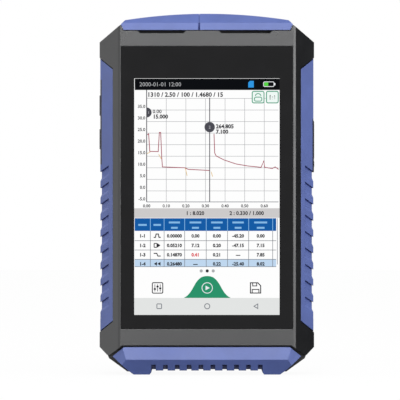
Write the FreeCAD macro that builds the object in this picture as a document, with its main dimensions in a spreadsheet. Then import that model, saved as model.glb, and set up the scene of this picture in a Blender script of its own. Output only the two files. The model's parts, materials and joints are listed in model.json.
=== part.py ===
import FreeCAD, Part
import math
import os
from collections import namedtuple
from types import SimpleNamespace

import Sketcher
from FreeCAD import Placement, Rotation, Vector

# A handheld cable fault finder, upright on its two feet: X to the right, Z up, the display towards -Y.

# Driving dimensions in millimetres.
SIZES = {
    # Case: outer form, seen from the front and from above.
    "case_width": 97.0,
    "case_depth": 42.8,
    "face_height": 141.7,
    "base_height": 13.15,
    "bevel_run": 8.8,
    "front_bevel": 10.5,
    "edge_flat": 0.7,
    "edge_side": 0.35,
    "rear_bevel_run": 8.5,
    "rear_bevel": 9.0,
    "wall": 2.4,
    "shoulder_rise": 2.7,
    "shoulder_lean": 1.2,
    "cheek_rise": 1.65,
    "cheek_run": 2.3,
    "corner_run": 9.6,
    "corner_drop": 7.6,
    "toe_rise": 0.95,
    "toe_run": 3.5,
    "toe_drop": 4.45,
    "toe_inset": 10.4,
    "toe_flat": 1.1,
    "notch_height": 1.15,
    "notch_depth": 4.5,
    "seam": 0.15,
    "seam_groove": 0.3,
    # Side grips and their slanted ribs.
    "grip_depth": 6.1,
    "grip_set": 0.3,
    "grip_skin": 0.3,
    "grip_above": 10.65,
    "grip_below": 16.85,
    "grip_top_lean": 5.0,
    "grip_bottom_lean": 5.0,
    "rib_margin": 1.9,
    "rib_pitch": 7.39,
    "rib_depth": 0.7,
    "rib_run": 3.4,
    "rib_drop": 2.4,
    "rib_zone_above": 5.24,
    "rib_start": 0.46,
    "rib_full": 0.6,
    "rib_count": 9.0,
    # Glass, gasket and display.
    "glass_rim": 1.0,
    "glass_band": 7.0,
    "glass_foot": 7.5,
    "glass_thick": 1.8,
    "glass_gap": 0.1,
    "gasket_thick": 0.3,
    "shelf_thick": 1.5,
    "picture_side": 6.0,
    "picture_below": 6.3,
    "picture_top": 14.45,
    "panel_side": 2.0,
    "panel_ledge": 4.1,
    "panel_thick": 3.4,
    "panel_gap": 0.3,
    "bracket_thick": 0.8,
    "bracket_post": 1.9,
    "bracket_inset": 21.0,
    # Boards and case screws.
    "board_depth": 12.2,
    "board_thick": 1.6,
    "board_gap": 1.8,
    "screw_inset": 2.8,
    "screw_above": 5.8,
    "screw_below": 18.2,
    "screw_post": 2.6,
    "screw_well": 4.6,
    "screw_head": 2.75,
    "screw_head_high": 2.0,
    "screw_shank": 1.45,
    "screw_floor": 3.0,
    "screw_bite": 6.0,
    "screw_play": 0.05,
    # Port tray under the covers.
    "tray_inset": 4.3,
    "tray_front": 7.0,
    "tray_rear": 8.8,
    "tray_deep": 12.65,
    "tray_wall": 1.8,
    "tray_gap": 0.1,
    "tray_lip": 1.4,
    "tray_lip_high": 2.0,
    "split": 3.5,
    "port_bore": 1.26,
    "port_barrel": 4.0,
    "port_stub": 3.2,
    "port_flange": 6.0,
    "port_flange_high": 1.8,
    "port_rise": 8.8,
    "port_mouth": 2.9,
    "port_mouth_deep": 3.0,
    "port_bore_long": 7.4,
    "port_screw": 4.4,
    "port_end": 8.6,
    "fibre": 0.45,
    "fibre_bend": 5.0,
    # Port covers and their hinges.
    "cover_gap": 0.35,
    "cover_side": 0.1,
    "cover_lean": 1.25,
    "cover_seam": 0.06,
    "cover_lap": 0.25,
    "cover_slot": 0.35,
    "cover_tip": 2.95,
    "cover_crown": 8.0,
    "crown_radius": 222.0,
    "cover_facet_high": 3.65,
    "cover_facet_lean": 1.6,
    "cover_slope": 7.5,
    "cover_skin": 2.2,
    "cover_front_wall": 8.0,
    "cover_rear_wall": 4.9,
    "cover_rear_slope": 7.2,
    "cover_rear_high": 4.35,
    "cover_end": 1.9,
    "hinge_in": 4.4,
    "hinge_end": 5.1,
    "hinge_split": 4.5,
    "hinge_up": 2.85,
    "knuckle": 2.3,
    "hinge_pin": 1.0,
    "pin_play": 0.05,
    "ear_width": 3.5,
    "ear_gap": 0.3,
    "cover_clear": 0.4,
    "seal_width": 1.2,
    "seal_high": 1.15,
    "seal_lift": 0.05,
    # Bottom end.
    "core_side": 3.7,
    "core_front": 7.5,
    "core_rear": 6.0,
    "core_heel": 12.6,
    "core_heel_high": 1.2,
    "core_under": 4.6,
    "core_gap": 0.1,
    "base_screw": 26.5,
    "bumper_proud": 1.2,
    "bumper_gap": 0.75,
    "bumper_tip": 6.0,
    "bumper_tip_high": 8.2,
    "bumper_shin": 12.3,
    "bumper_shin_high": 2.4,
    "bumper_brow": 6.8,
    "bumper_toe": 3.6,
    "bumper_flat": 12.1,
    "bumper_rake": 0.75,
    "bumper_back": 0.1,
    "foot_out": 15.5,
    "foot_in": 22.7,
    "belly_in": 24.1,
    "belly_high": 1.85,
    "groove_pitch": 5.34,
    "groove_width": 2.0,
    "groove_high": 0.5,
    "groove_face": 2.6,
    "groove_deep": 5.5,
    "groove_count": 10.0,
    # Battery and its door.
    "battery_wide": 58.0,
    "battery_tall": 38.4,
    "battery_deep": 18.0,
    "battery_gap": 0.2,
    "battery_above": 12.15,
    "door_thick": 2.1,
    "door_ledge": 2.2,
    "door_foot": 5.0,
    "door_gap": 0.1,
    "door_screw": 22.0,
    # Stand on the back.
    "stand_half": 26.0,
    "stand_thick": 3.6,
    "stand_below": 20.85,
    "stand_above": 9.6,
    "stand_gap": 0.3,
    "stand_clear": 0.4,
    "stand_grip": 8.0,
    "stand_pin_long": 10.2,
    # Keys on the left, flap and sockets on the right.
    "key_tall": 9.1,
    "key_deep": 4.4,
    "key_proud": 0.45,
    "nub_proud": 0.15,
    "key_gap": 0.2,
    "key_first": 33.35,
    "key_step": 15.25,
    "key_travel": 0.5,
    "key_flange": 0.8,
    "key_lip": 0.9,
    "flap_top": 39.45,
    "flap_tall": 24.4,
    "flap_deep": 10.4,
    "flap_rear": 12.7,
    "flap_thick": 2.4,
    "flap_proud": 0.3,
    "flap_gap": 0.3,
    "flap_knuckle": 1.3,
    "flap_pin": 0.5,
    "flap_tab": 3.0,
    "socket_tall": 8.94,
    "socket_thick": 3.26,
    "socket_long": 7.4,
    "socket_skin": 0.3,
    "socket_step": 9.9,
}

# How far a cutting shape runs past the material that it cuts.
OVER = 1.0
# The step that is left where a rib meets the plain surface of a grip.
RIB_CREST = 0.05


class Dim:
    """A length worked out from the sheet: the expression that gives it, and its value."""

    def __init__(self, text, value):
        self.text = text
        self.value = value

    def __add__(self, other):
        return Dim(f"({self.text} + {dim(other).text})", self.value + dim(other).value)

    def __radd__(self, other):
        return dim(other) + self

    def __sub__(self, other):
        return Dim(f"({self.text} - {dim(other).text})", self.value - dim(other).value)

    def __rsub__(self, other):
        return dim(other) - self

    def __mul__(self, other):
        return Dim(f"({self.text} * {dim(other).text})", self.value * dim(other).value)

    def __rmul__(self, other):
        return dim(other) * self

    def __truediv__(self, other):
        return Dim(f"({self.text} / {dim(other).text})", self.value / dim(other).value)

    def __neg__(self):
        return Dim(f"(-1 * {self.text})", -self.value)


Circle = namedtuple("Circle", "x y radius")


def dim(number):
    if isinstance(number, Dim):
        return number
    return Dim(f"({float(number)!r})", float(number))


def square_root(number):
    return Dim(f"sqrt({number.text})", math.sqrt(number.value))


doc = FreeCAD.newDocument("cable_fault_finder")
sheet = doc.addObject("Spreadsheet::Sheet", "size")
for row, (alias, number) in enumerate(SIZES.items(), start=1):
    sheet.set(f"A{row}", alias)
    sheet.set(f"B{row}", str(number))
    sheet.setAlias(f"B{row}", alias)
doc.recompute()
size = SimpleNamespace(**{alias: Dim(f"size.{alias}", float(sheet.get(alias))) for alias in SIZES})

# The direction of each plane's sketch normal along its own axis.
PLANES = {"XY": 1, "XZ": -1, "YZ": 1}
nodes = {}


def bind(thing, path, number):
    thing.setExpression(path, dim(number).text)


def body(name):
    made = doc.addObject("PartDesign::Body", name)
    made.Label = name
    nodes[name] = made
    return made


def origin_part(owner, role):
    return next(part for part in owner.Origin.OriginFeatures if part.Role == role)


def new_sketch(owner, plane, level):
    made = owner.newObject("Sketcher::SketchObject", f"{owner.Name}_sketch")
    made.AttachmentSupport = (origin_part(owner, f"{plane}_Plane"), [""])
    made.MapMode = "FlatFace"
    bind(made, "AttachmentOffset.Base.z", dim(level) * PLANES[plane])
    return made


def place(made, geometry, corner, x, y):
    """Holds one point of a sketch at a distance from the sketch's origin."""
    for kind, number in (("DistanceX", x), ("DistanceY", y)):
        index = made.addConstraint(Sketcher.Constraint(kind, -1, 1, geometry, corner, dim(number).value))
        name = f"{kind}_{geometry}_{corner}"
        made.renameConstraint(index, name)
        bind(made, f"Constraints.{name}", number)


def set_radius(made, geometry, radius):
    index = made.addConstraint(Sketcher.Constraint("Radius", geometry, dim(radius).value))
    name = f"Radius_{geometry}"
    made.renameConstraint(index, name)
    bind(made, f"Constraints.{name}", radius)


def arc_between(start, end, radius):
    """The arc from start to end that bulges to the left of the way there."""
    chord = end - start
    middle = (start + end) / 2
    left = Vector(-chord.y, chord.x, 0).normalize()
    reach = math.sqrt(max(radius**2 - (chord.Length / 2) ** 2, 0.0))
    centre = middle - left * reach
    first = math.atan2(end.y - centre.y, end.x - centre.x)
    last = math.atan2(start.y - centre.y, start.x - centre.x)
    return Part.ArcOfCircle(Part.Circle(centre, Vector(0, 0, 1), radius), first, last)


def draw(made, loop):
    """Draws a circle, or a closed outline of corners (x, y), or (x, y, radius) where an arc starts."""
    if isinstance(loop, Circle):
        centre = Vector(dim(loop.x).value, dim(loop.y).value, 0)
        geometry = made.addGeometry(Part.Circle(centre, Vector(0, 0, 1), dim(loop.radius).value))
        set_radius(made, geometry, loop.radius)
        place(made, geometry, 3, loop.x, loop.y)
        return
    corners = [Vector(dim(point[0]).value, dim(point[1]).value, 0) for point in loop]
    first = made.GeometryCount
    starts = []
    for index, point in enumerate(loop):
        start = corners[index]
        end = corners[(index + 1) % len(loop)]
        if len(point) == 3:
            made.addGeometry(arc_between(start, end, dim(point[2]).value))
            starts.append(2)
        else:
            made.addGeometry(Part.LineSegment(start, end))
            starts.append(1)
    for index, point in enumerate(loop):
        following = (index + 1) % len(loop)
        joint = (first + index, 3 - starts[index], first + following, starts[following])
        made.addConstraint(Sketcher.Constraint("Coincident", *joint))
    for index, point in enumerate(loop):
        place(made, first + index, starts[index], point[0], point[1])
        if len(point) == 3:
            set_radius(made, first + index, point[2])


def settle(owner, made, grows, before):
    doc.recompute()
    change = owner.Shape.Volume - before
    if "Invalid" in made.State or (change if grows else -change) <= 1e-6:
        raise RuntimeError(f"{made.Name} in {owner.Name} changed the volume by {change}")
    return made


def sweep(kind, owner, plane, loops, low, high):
    """Pads or pockets closed loops of one plane from low to high along that plane's axis."""
    before = owner.Shape.Volume if owner.Tip else 0.0
    profile = new_sketch(owner, plane, high if plane == "XZ" else low)
    for loop in loops:
        draw(profile, loop)
    made = owner.newObject(f"PartDesign::{kind}", f"{owner.Name}_{kind.lower()}")
    made.Profile = profile
    made.Type = "Length"
    made.Reversed = kind == "Pocket"
    bind(made, "Length", dim(high) - low)
    return settle(owner, made, kind == "Pad", before)


def pad(owner, plane, loops, low, high):
    return sweep("Pad", owner, plane, loops, low, high)


def pocket(owner, plane, loops, low, high):
    return sweep("Pocket", owner, plane, loops, low, high)


def repeat(owner, original, axis, step, count, backwards=False):
    """Repeats a feature in a row along one axis of the body."""
    before = owner.Shape.Volume
    made = owner.newObject("PartDesign::LinearPattern", f"{owner.Name}_row")
    made.Originals = [original]
    made.Direction = (origin_part(owner, f"{axis}_Axis"), [""])
    made.Reversed = backwards
    bind(made, "Length", step * (count - 1))
    bind(made, "Occurrences", count)
    owner.Tip = made
    return settle(owner, made, "Pocket" not in original.TypeId, before)


def box(name, x, y, z):
    made = doc.addObject("Part::Box", name)
    for path, axis, (low, high) in zip(("Length", "Width", "Height"), "xyz", (x, y, z)):
        bind(made, path, dim(high) - low)
        bind(made, f"Placement.Base.{axis}", low)
    return made


TURNS = {"z": Rotation(), "y": Rotation(Vector(1, 0, 0), -90), "x": Rotation(Vector(0, 1, 0), 90)}


def stand_up(made, axis, across, low, high):
    """Sets a round piece along one axis, at two places across it in the order of the other axes."""
    made.Placement = Placement(Vector(), TURNS[axis])
    bind(made, "Height", dim(high) - low)
    bind(made, f"Placement.Base.{axis}", low)
    for other, number in zip("xyz".replace(axis, ""), across):
        bind(made, f"Placement.Base.{other}", number)
    return made


def rod(name, axis, across, radius, low, high):
    made = doc.addObject("Part::Cylinder", name)
    bind(made, "Radius", radius)
    return stand_up(made, axis, across, low, high)


def prism(name, axis, across, radius, low, high, sides):
    made = doc.addObject("Part::Prism", name)
    made.Polygon = sides
    bind(made, "Circumradius", radius)
    return stand_up(made, axis, across, low, high)


def fuse(name, *shapes):
    made = doc.addObject("Part::MultiFuse", name)
    made.Shapes = list(shapes)
    return made


def cut(name, base, *tools):
    made = doc.addObject("Part::Cut", name)
    made.Base = base
    made.Tool = tools[0] if len(tools) == 1 else fuse(f"{name}_tools", *tools)
    return made


def group(name, shapes):
    made = doc.addObject("Part::Compound", name)
    made.Links = list(shapes)
    return made


def node(name, made):
    made.Label = name
    nodes[name] = made
    return made


def both(right):
    """A closed outline from its right half, listed from top to bottom."""
    return right + [(-x, z) for x, z in reversed(right)]


def rectangle(left, right, low, high):
    return [(left, low), (left, high), (right, high), (right, low)]


def rounded(left, right, low, high, radius):
    return [
        (left, low + radius),
        (left, high - radius, radius),
        (left + radius, high),
        (right - radius, high, radius),
        (right, high - radius),
        (right, low + radius, radius),
        (right - radius, low),
        (left + radius, low, radius),
    ]


def span(half):
    return -half, half


# Places that several pieces share.
SIDES = (1, -1)
half = size.case_width / 2
rear_y = (size.case_depth + size.bumper_proud) / 2
front_y = rear_y - size.case_depth
part_y = front_y + size.front_bevel
front_half = half - size.bevel_run
rear_half = half - size.rear_bevel_run
base_z = size.base_height
seat_z = base_z + size.face_height
crown_z = seat_z + size.cover_crown
root = half - size.grip_depth
grip_low = base_z + size.grip_above
grip_high = seat_z - size.grip_below
inner_half = root - size.wall
inner_low = base_z + size.wall
inner_high = seat_z - size.wall
inner_rear = rear_y - size.wall
shelf_y = front_y + size.glass_thick + size.gasket_thick
inner_front = shelf_y + size.shelf_thick
board_y = front_y + size.board_depth
board_back = board_y + size.board_thick
glass_half = front_half - size.glass_rim
glass_low = base_z + size.glass_foot
glass_high = seat_z - size.glass_band
panel_half = glass_half - size.picture_side + size.panel_side
panel_low = glass_low + size.picture_below - size.panel_ledge
panel_high = glass_high - size.picture_top + size.panel_side
panel_front = front_y + size.glass_thick + size.glass_gap
panel_back = panel_front + size.panel_thick
tray_half = front_half - size.tray_inset
tray_low = seat_z - size.tray_deep
tray_front = front_y + size.tray_front
tray_rear = rear_y - size.tray_rear
tray_floor = tray_low + size.wall
screw_x = inner_half - size.screw_inset
screw_rows = (base_z + size.screw_above, seat_z - size.screw_below)
screw_places = [(side * screw_x, z) for side in SIDES for z in screw_rows]
screw_seat = board_back + size.screw_floor
hinge_y = rear_y - size.hinge_in
hinge_z = seat_z + size.hinge_up
port_y = (tray_front + tray_rear) / 2
left_bay = (-tray_half + size.tray_wall, -size.split - size.tray_wall / 2)
right_bay = (-size.split + size.tray_wall / 2, tray_half - size.tray_wall)
otdr_x = (left_bay[0] + left_bay[1]) / 2
meter_x = right_bay[0] + size.port_end
vfl_x = right_bay[1] - size.port_end
cover_half = half - size.corner_run - size.cover_side
door_low = base_z + size.battery_above - size.door_foot - size.battery_gap
door_high = base_z + size.battery_above + size.battery_tall + size.battery_gap + size.door_ledge
door_half = size.battery_wide / 2 + size.battery_gap + size.door_ledge
door_floor = rear_y - size.door_thick - size.door_gap
stand_y = rear_y - size.stand_clear / 2 - size.stand_thick / 2
stand_z = seat_z - size.stand_below
stand_low = door_high + size.stand_above
stand_floor = stand_y - size.stand_thick / 2 - size.stand_clear
thick_y = stand_floor - size.wall
key_places = [seat_z - size.key_first - size.key_step * step for step in (0, 1)]
key_y = board_back + size.key_lip + size.key_deep / 2
flap_high = seat_z - size.flap_top
flap_low = flap_high - size.flap_tall
flap_front = front_y + size.flap_rear
flap_back = flap_front + size.flap_deep
flap_x = half - size.grip_set + size.flap_proud - size.flap_thick / 2
flap_z = flap_high - size.flap_gap - size.flap_knuckle
socket_places = [flap_low + size.socket_tall / 2 + 1.2 + size.socket_step * step for step in (0, 1)]
base_screw_x = half - size.base_screw
base_screw_y = dim(3.0)

case_right = [
    (half - size.corner_run - size.shoulder_lean, seat_z),
    (half - size.corner_run, seat_z + size.shoulder_rise),
    (half, seat_z + size.shoulder_rise - size.corner_drop),
    (half, grip_high + size.grip_top_lean),
    (root, grip_high),
    (root, grip_low),
    (half, grip_low - size.grip_bottom_lean),
    (half, base_z - size.toe_rise),
    (half - size.toe_run, base_z - size.toe_drop),
    (half - size.toe_run - size.toe_flat, base_z - size.toe_drop),
    (half - size.toe_inset, base_z),
]


def bevel_cuts(profile, outward):
    """Two outlines from above that slope the long edges of the case along a profile."""
    first_x, face_y = profile[0]
    edge_y = profile[-1][1]
    beyond = half + 2 * OVER
    past = face_y + outward * OVER
    loop = profile + [(beyond, edge_y), (beyond, past), (first_x, past)]
    return [[(side * x, y) for x, y in loop] for side in SIDES]


def case_half(name, low, high, bevels):
    made = body(name)
    pad(made, "XZ", [both(case_right)], low, high)
    pocket(made, "XY", bevels, 0, crown_z)
    return made


def tray_opening(made, low, high):
    mouth = rectangle(*span(tray_half + size.tray_gap), low, high)
    pocket(made, "XY", [mouth], inner_high - OVER, seat_z + OVER)


def front_shell():
    chamfer_y = front_y + size.edge_side * size.front_bevel / size.bevel_run
    profile = [
        (front_half - size.edge_flat, front_y),
        (front_half + size.edge_side, chamfer_y),
        (half, part_y),
    ]
    made = case_half("front_shell", front_y, part_y, bevel_cuts(profile, -1))
    pocket(made, "XZ", [rectangle(*span(inner_half), inner_low, inner_high)], inner_front, part_y)
    gap = size.glass_gap
    recess = rounded(*span(glass_half + gap), glass_low - gap, glass_high + gap, dim(0.4))
    pocket(made, "XZ", [recess], front_y, shelf_y)
    gap = size.panel_gap
    window = rectangle(*span(panel_half + gap), panel_low - gap, panel_high + gap)
    pocket(made, "XZ", [window], front_y, inner_front)
    low = seat_z - size.notch_height
    high = seat_z + OVER
    lean = 1.2
    notches = [
        [
            (left, high),
            (right, high),
            (right, seat_z),
            (right - lean, low),
            (left + lean, low),
            (left, seat_z),
        ]
        for left, right in (
            (7.6 - cover_half, -size.split - 5.9),
            (8.9 - size.split, cover_half - 9.3),
        )
    ]
    pocket(made, "XZ", notches, front_y - OVER, front_y + size.notch_depth)
    tray_opening(made, tray_front - size.tray_gap, part_y)
    posts = [Circle(x, z, size.screw_post) for x, z in screw_places]
    pad(made, "XZ", posts, inner_front, board_y)
    bores = [Circle(x, z, size.screw_shank + size.screw_play) for x, z in screw_places]
    pocket(made, "XZ", bores, board_y - size.screw_bite, board_y)
    pad(made, "XZ", [Circle(x, z, size.bracket_post) for x, z in bracket_places], inner_front, panel_back)
    pilots = [Circle(x, z, bracket_shank + size.screw_play) for x, z in bracket_places]
    pocket(made, "XZ", pilots, inner_front - 0.8, panel_back)


bracket_shank = dim(0.95)
bracket_places = [
    (side * screw_x, z)
    for side in SIDES
    for z in (panel_low + size.bracket_inset, panel_high - size.bracket_inset)
]


def seal_path(grow):
    """The open ring in the joint of the case, which stops at the two ends of the port tray."""
    outer = inner_half + size.wall / 2 + size.seal_width / 2 + grow
    inner = inner_half + size.wall / 2 - size.seal_width / 2 - grow
    margin = outer - inner_half
    inset = inner - inner_half
    end = tray_half + size.tray_gap + 0.2 - grow
    top_out = inner_high + margin
    top_in = inner_high + inset
    return both(
        [
            (end, top_in),
            (end, top_out),
            (outer, top_out),
            (outer, inner_low - margin),
        ]
    ) + both_inner(inner, inner_low - inset, top_in)


def both_inner(inner, low, high):
    return [(-inner, high), (-inner, low), (inner, low), (inner, high)]


def rear_shell():
    profile = [(rear_half, rear_y), (half, rear_y - size.rear_bevel)]
    made = case_half("rear_shell", part_y, rear_y, bevel_cuts(profile, 1))
    pocket(made, "XZ", [rectangle(*span(inner_half), inner_low, inner_high)], part_y, inner_rear)
    # A thick floor for the battery door and the stand, and the battery's well.
    thick_half = dim(34.2)
    thick = rectangle(*span(thick_half), inner_low - OVER, stand_z + 6.0)
    pad(made, "XZ", [thick], thick_y, inner_rear + OVER)
    gap = size.battery_gap
    well_half = size.battery_wide / 2 + gap
    well_low = base_z + size.battery_above - gap
    well_high = base_z + size.battery_above + size.battery_tall + gap
    well_front = door_floor - size.battery_deep - 2 * gap - 0.9
    jacket = rectangle(*span(well_half + 2.2), well_low - 2.2, well_high + 2.2)
    pad(made, "XZ", [jacket], well_front - 2.2, thick_y + OVER)
    pocket(made, "XZ", [rectangle(*span(well_half), well_low, well_high)], well_front, rear_y)
    gap = size.door_gap
    mouth = rounded(*span(door_half + gap), door_low - gap, door_high + gap, dim(2.1))
    pocket(made, "XZ", [mouth], door_floor, rear_y)
    pilots = [Circle(side * size.door_screw, door_screw_z, door_shank + size.screw_play) for side in SIDES]
    pocket(made, "XZ", pilots, door_floor - 3.6, door_floor)
    # The stand's recess, its finger notch and its pin holes.
    gap = size.stand_gap
    top = stand_z + size.stand_thick / 2 + size.stand_clear
    stand_bay = rounded(*span(size.stand_half + gap), stand_low - gap, top, dim(0.4))
    pocket(made, "XZ", [stand_bay], stand_floor, rear_y)
    finger = rounded(*span(size.stand_grip), stand_low - 5.2, stand_low + 4.0, dim(3.0))
    pocket(made, "XZ", [finger], stand_floor, rear_y)
    reach = stand_pin_in + size.stand_pin_long
    hole = [Circle(stand_y, stand_z, size.hinge_pin + size.pin_play / 2)]
    pocket(made, "YZ", hole, -reach, reach)
    # Wells and holes for the case screws.
    pad(made, "XZ", [Circle(x, z, size.screw_well) for x, z in screw_places], board_back, inner_rear)
    wells = [Circle(x, z, size.screw_head + 0.35) for x, z in screw_places]
    pocket(made, "XZ", wells, screw_seat, rear_y + OVER)
    holes = [Circle(x, z, size.screw_shank + 0.15) for x, z in screw_places]
    pocket(made, "XZ", holes, board_back, screw_seat + OVER)
    # Openings in the walls: port tray, keys, sockets, screws of the bottom end, seal groove.
    tray_opening(made, part_y, tray_rear + size.tray_gap)
    gap = size.key_gap
    keys = [key_outline(z, gap) for z in key_places]
    pocket(made, "YZ", keys, -root - OVER, -inner_half + OVER)
    sockets = [socket_outline(z, dim(0.15)) for z in socket_places]
    pocket(made, "YZ", sockets, inner_half - OVER, root + OVER)
    holes = [Circle(side * base_screw_x, base_screw_y, size.screw_shank + 0.15) for side in SIDES]
    pocket(made, "XY", holes, base_z - OVER, inner_low + OVER)
    pocket(made, "XZ", [seal_path(dim(0.0))], part_y, part_y + size.seal_width)
    # Low walls behind the gaps of the port covers, and the covers' hinge ears.
    guard_end = half - size.corner_run
    guards = [
        rectangle(side * (guard_end - 2.9), side * guard_end, *guard_depth) for side in SIDES
    ] + [rectangle(-size.split - 1.2, -size.split + 1.2, *guard_depth)]
    pad(made, "XY", guards, seat_z - OVER, seat_z + size.shoulder_rise - 0.1)
    # Small cheeks that close the view past the outer ends of the port covers.
    tip_z = seat_z + size.shoulder_rise
    inner = guard_end + size.cover_side / 2
    foot_z = tip_z - size.cheek_run * size.corner_drop / size.corner_run - 0.4
    cheek = [
        (inner, tip_z - 0.5),
        (inner, tip_z + size.cheek_rise),
        (inner + 0.3, tip_z + size.cheek_rise),
        (guard_end + size.cheek_run, foot_z),
    ]
    cheeks = [[(side * x, z) for x, z in cheek] for side in SIDES]
    pad(made, "XZ", cheeks, *guard_depth)
    for low, high in ear_spans:
        ear = rectangle(hinge_y - size.knuckle, hinge_y + size.knuckle, seat_z - OVER, hinge_z)
        pad(made, "YZ", [ear], low, high)
        pad(made, "YZ", [Circle(hinge_y, hinge_z, size.knuckle)], low, high)
        hole = Circle(hinge_y, hinge_z, size.hinge_pin + size.pin_play / 2)
        pocket(made, "YZ", [hole], low - size.ear_gap / 2, high + size.ear_gap / 2)


guard_depth = (hinge_y - size.knuckle + 0.1, hinge_y + size.knuckle)
door_shank = dim(1.2)
door_screw_z = door_low + size.door_foot / 2
stand_pin_in = size.stand_half - 5.6
hinge_spans = (
    (size.hinge_end - cover_half, -size.split - size.hinge_split),
    (size.hinge_split - size.split, cover_half - size.hinge_end),
)
ear_spans = [
    ends
    for low, high in hinge_spans
    for ends in ((low, low + size.ear_width), (high - size.ear_width, high))
]


def key_outline(z, grow):
    deep = size.key_deep / 2 + grow
    tall = size.key_tall / 2 + grow
    return rounded(key_y - deep, key_y + deep, z - tall, z + tall, dim(1.2))


def socket_outline(z, grow):
    tall = size.socket_tall / 2 + grow
    return rounded(board_back - grow, board_back + size.socket_thick + grow, z - tall, z + tall, dim(1.3))


def grip(name, side):
    """A side pad whose lower part is a row of slanted bars, each with a sharp lower edge."""
    made = body(name)
    outer = half - size.grip_set
    front_root = front_y + (root - front_half) * size.front_bevel / size.bevel_run + size.grip_skin
    rear_root = rear_y - (root - rear_half) * size.rear_bevel / size.rear_bevel_run - size.grip_skin
    front_slope = size.front_bevel / size.bevel_run
    rear_slope = size.rear_bevel / size.rear_bevel_run
    edge = root + size.rib_margin

    def front_line(x):
        return front_root + (x - root) * front_slope

    def rear_line(x):
        return rear_root - (x - root) * rear_slope

    def section(deep, stretch):
        """The outline from above with the ribbed faces set back by a depth."""
        face = outer - deep
        front_back = deep * square_root(1 + front_slope * front_slope)
        rear_back = deep * square_root(1 + rear_slope * rear_slope)
        points = [
            (root, front_line(root)),
            (edge, front_line(edge)),
            (edge, front_line(edge) + front_back),
            (face, front_line(face) + front_back),
            (face, rear_line(face) - rear_back),
            (edge, rear_line(edge) - rear_back),
            (edge, rear_line(edge)),
            (root, rear_line(root)),
        ]
        return [(side * x * stretch, y) for x, y in points]

    slope = size.rib_drop / size.rib_run
    stretch = square_root(1 + slope * slope)
    zone_low = grip_low + size.rib_zone_above
    zone_high = zone_low + size.rib_pitch * size.rib_count
    lean_low = (outer - root) * size.grip_bottom_lean / size.grip_depth
    lean_high = (outer - root) * size.grip_top_lean / size.grip_depth
    drop = (outer - root) * slope
    plain_top = [
        (side * root, grip_high - size.seam),
        (side * outer, grip_high + lean_high - size.seam),
        (side * outer, zone_high - drop),
        (side * root, zone_high),
    ]
    plain_foot = [
        (side * root, zone_low),
        (side * outer, zone_low - drop),
        (side * outer, grip_low - lean_low + size.seam),
        (side * root, grip_low + size.seam),
    ]
    pad(made, "XY", [section(size.rib_depth, dim(1.0))], zone_low - drop, zone_high)
    pad(made, "XZ", [plain_top], front_root, rear_root)
    pad(made, "XZ", [plain_foot], front_root, rear_root)
    past = outer + 2 * OVER
    before = front_root - OVER
    behind = rear_root + OVER
    trims = [
        [(side * x, y) for x, y in loop]
        for loop in (
            [(root, front_root), (past, front_line(past)), (past, before), (root, before)],
            [(root, rear_root), (past, rear_line(past)), (past, behind), (root, behind)],
        )
    ]
    pocket(made, "XY", trims, 0, crown_z)
    # The dark joint lines at the two ends: grooves that stop behind the sloped front face.
    groove = size.seam_groove
    joints = [
        [
            (side * (root - OVER), z - up * (size.seam + groove) - up * OVER * lean / size.grip_depth),
            (side * (root - OVER), z - up * OVER * lean / size.grip_depth),
            (side * past, z + up * (past - root) * lean / size.grip_depth),
            (side * past, z + up * (past - root) * lean / size.grip_depth - up * (size.seam + groove)),
        ]
        for z, up, lean in (
            (grip_high, 1, size.grip_top_lean),
            (grip_low, -1, size.grip_bottom_lean),
        )
    ]
    pocket(made, "XZ", joints, before, part_y + 2.0)
    # One slanted bar, from its set-back upper end over a short ramp to its sharp lower edge.
    ends = []
    for deep, share in (
        (size.rib_depth, size.rib_start),
        (dim(RIB_CREST), size.rib_full),
        (dim(RIB_CREST), dim(1.0)),
    ):
        slanted = new_sketch(made, "XY", zone_high - size.rib_pitch * share + root * slope)
        tilt = Rotation(Vector(0, side, 0), 1.0)
        slanted.AttachmentOffset = Placement(slanted.AttachmentOffset.Base, tilt)
        slanted.setExpression("AttachmentOffset.Rotation.Angle", f"atan({slope.text})")
        draw(slanted, section(deep, stretch))
        ends.append(slanted)
    volume = made.Shape.Volume
    bar = made.newObject("PartDesign::AdditiveLoft", f"{name}_bar")
    bar.Profile = ends[0]
    bar.Sections = ends[1:]
    bar.Ruled = True
    settle(made, bar, True, volume)
    repeat(made, bar, "Z", size.rib_pitch, size.rib_count, backwards=True)
    return made


def grips():
    left = grip("left_grip", -1)
    outer = half + OVER
    pocket(left, "YZ", [key_outline(z, size.key_gap) for z in key_places], -outer, -root + OVER)
    right = grip("right_grip", 1)
    window = rectangle(flap_front, flap_back, flap_low, flap_high)
    pocket(right, "YZ", [window], root - OVER, outer)
    hole = [Circle(flap_x, flap_z, size.flap_pin + size.pin_play / 2)]
    pocket(right, "XZ", hole, flap_front - 2.0, flap_back + 2.0)


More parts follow.
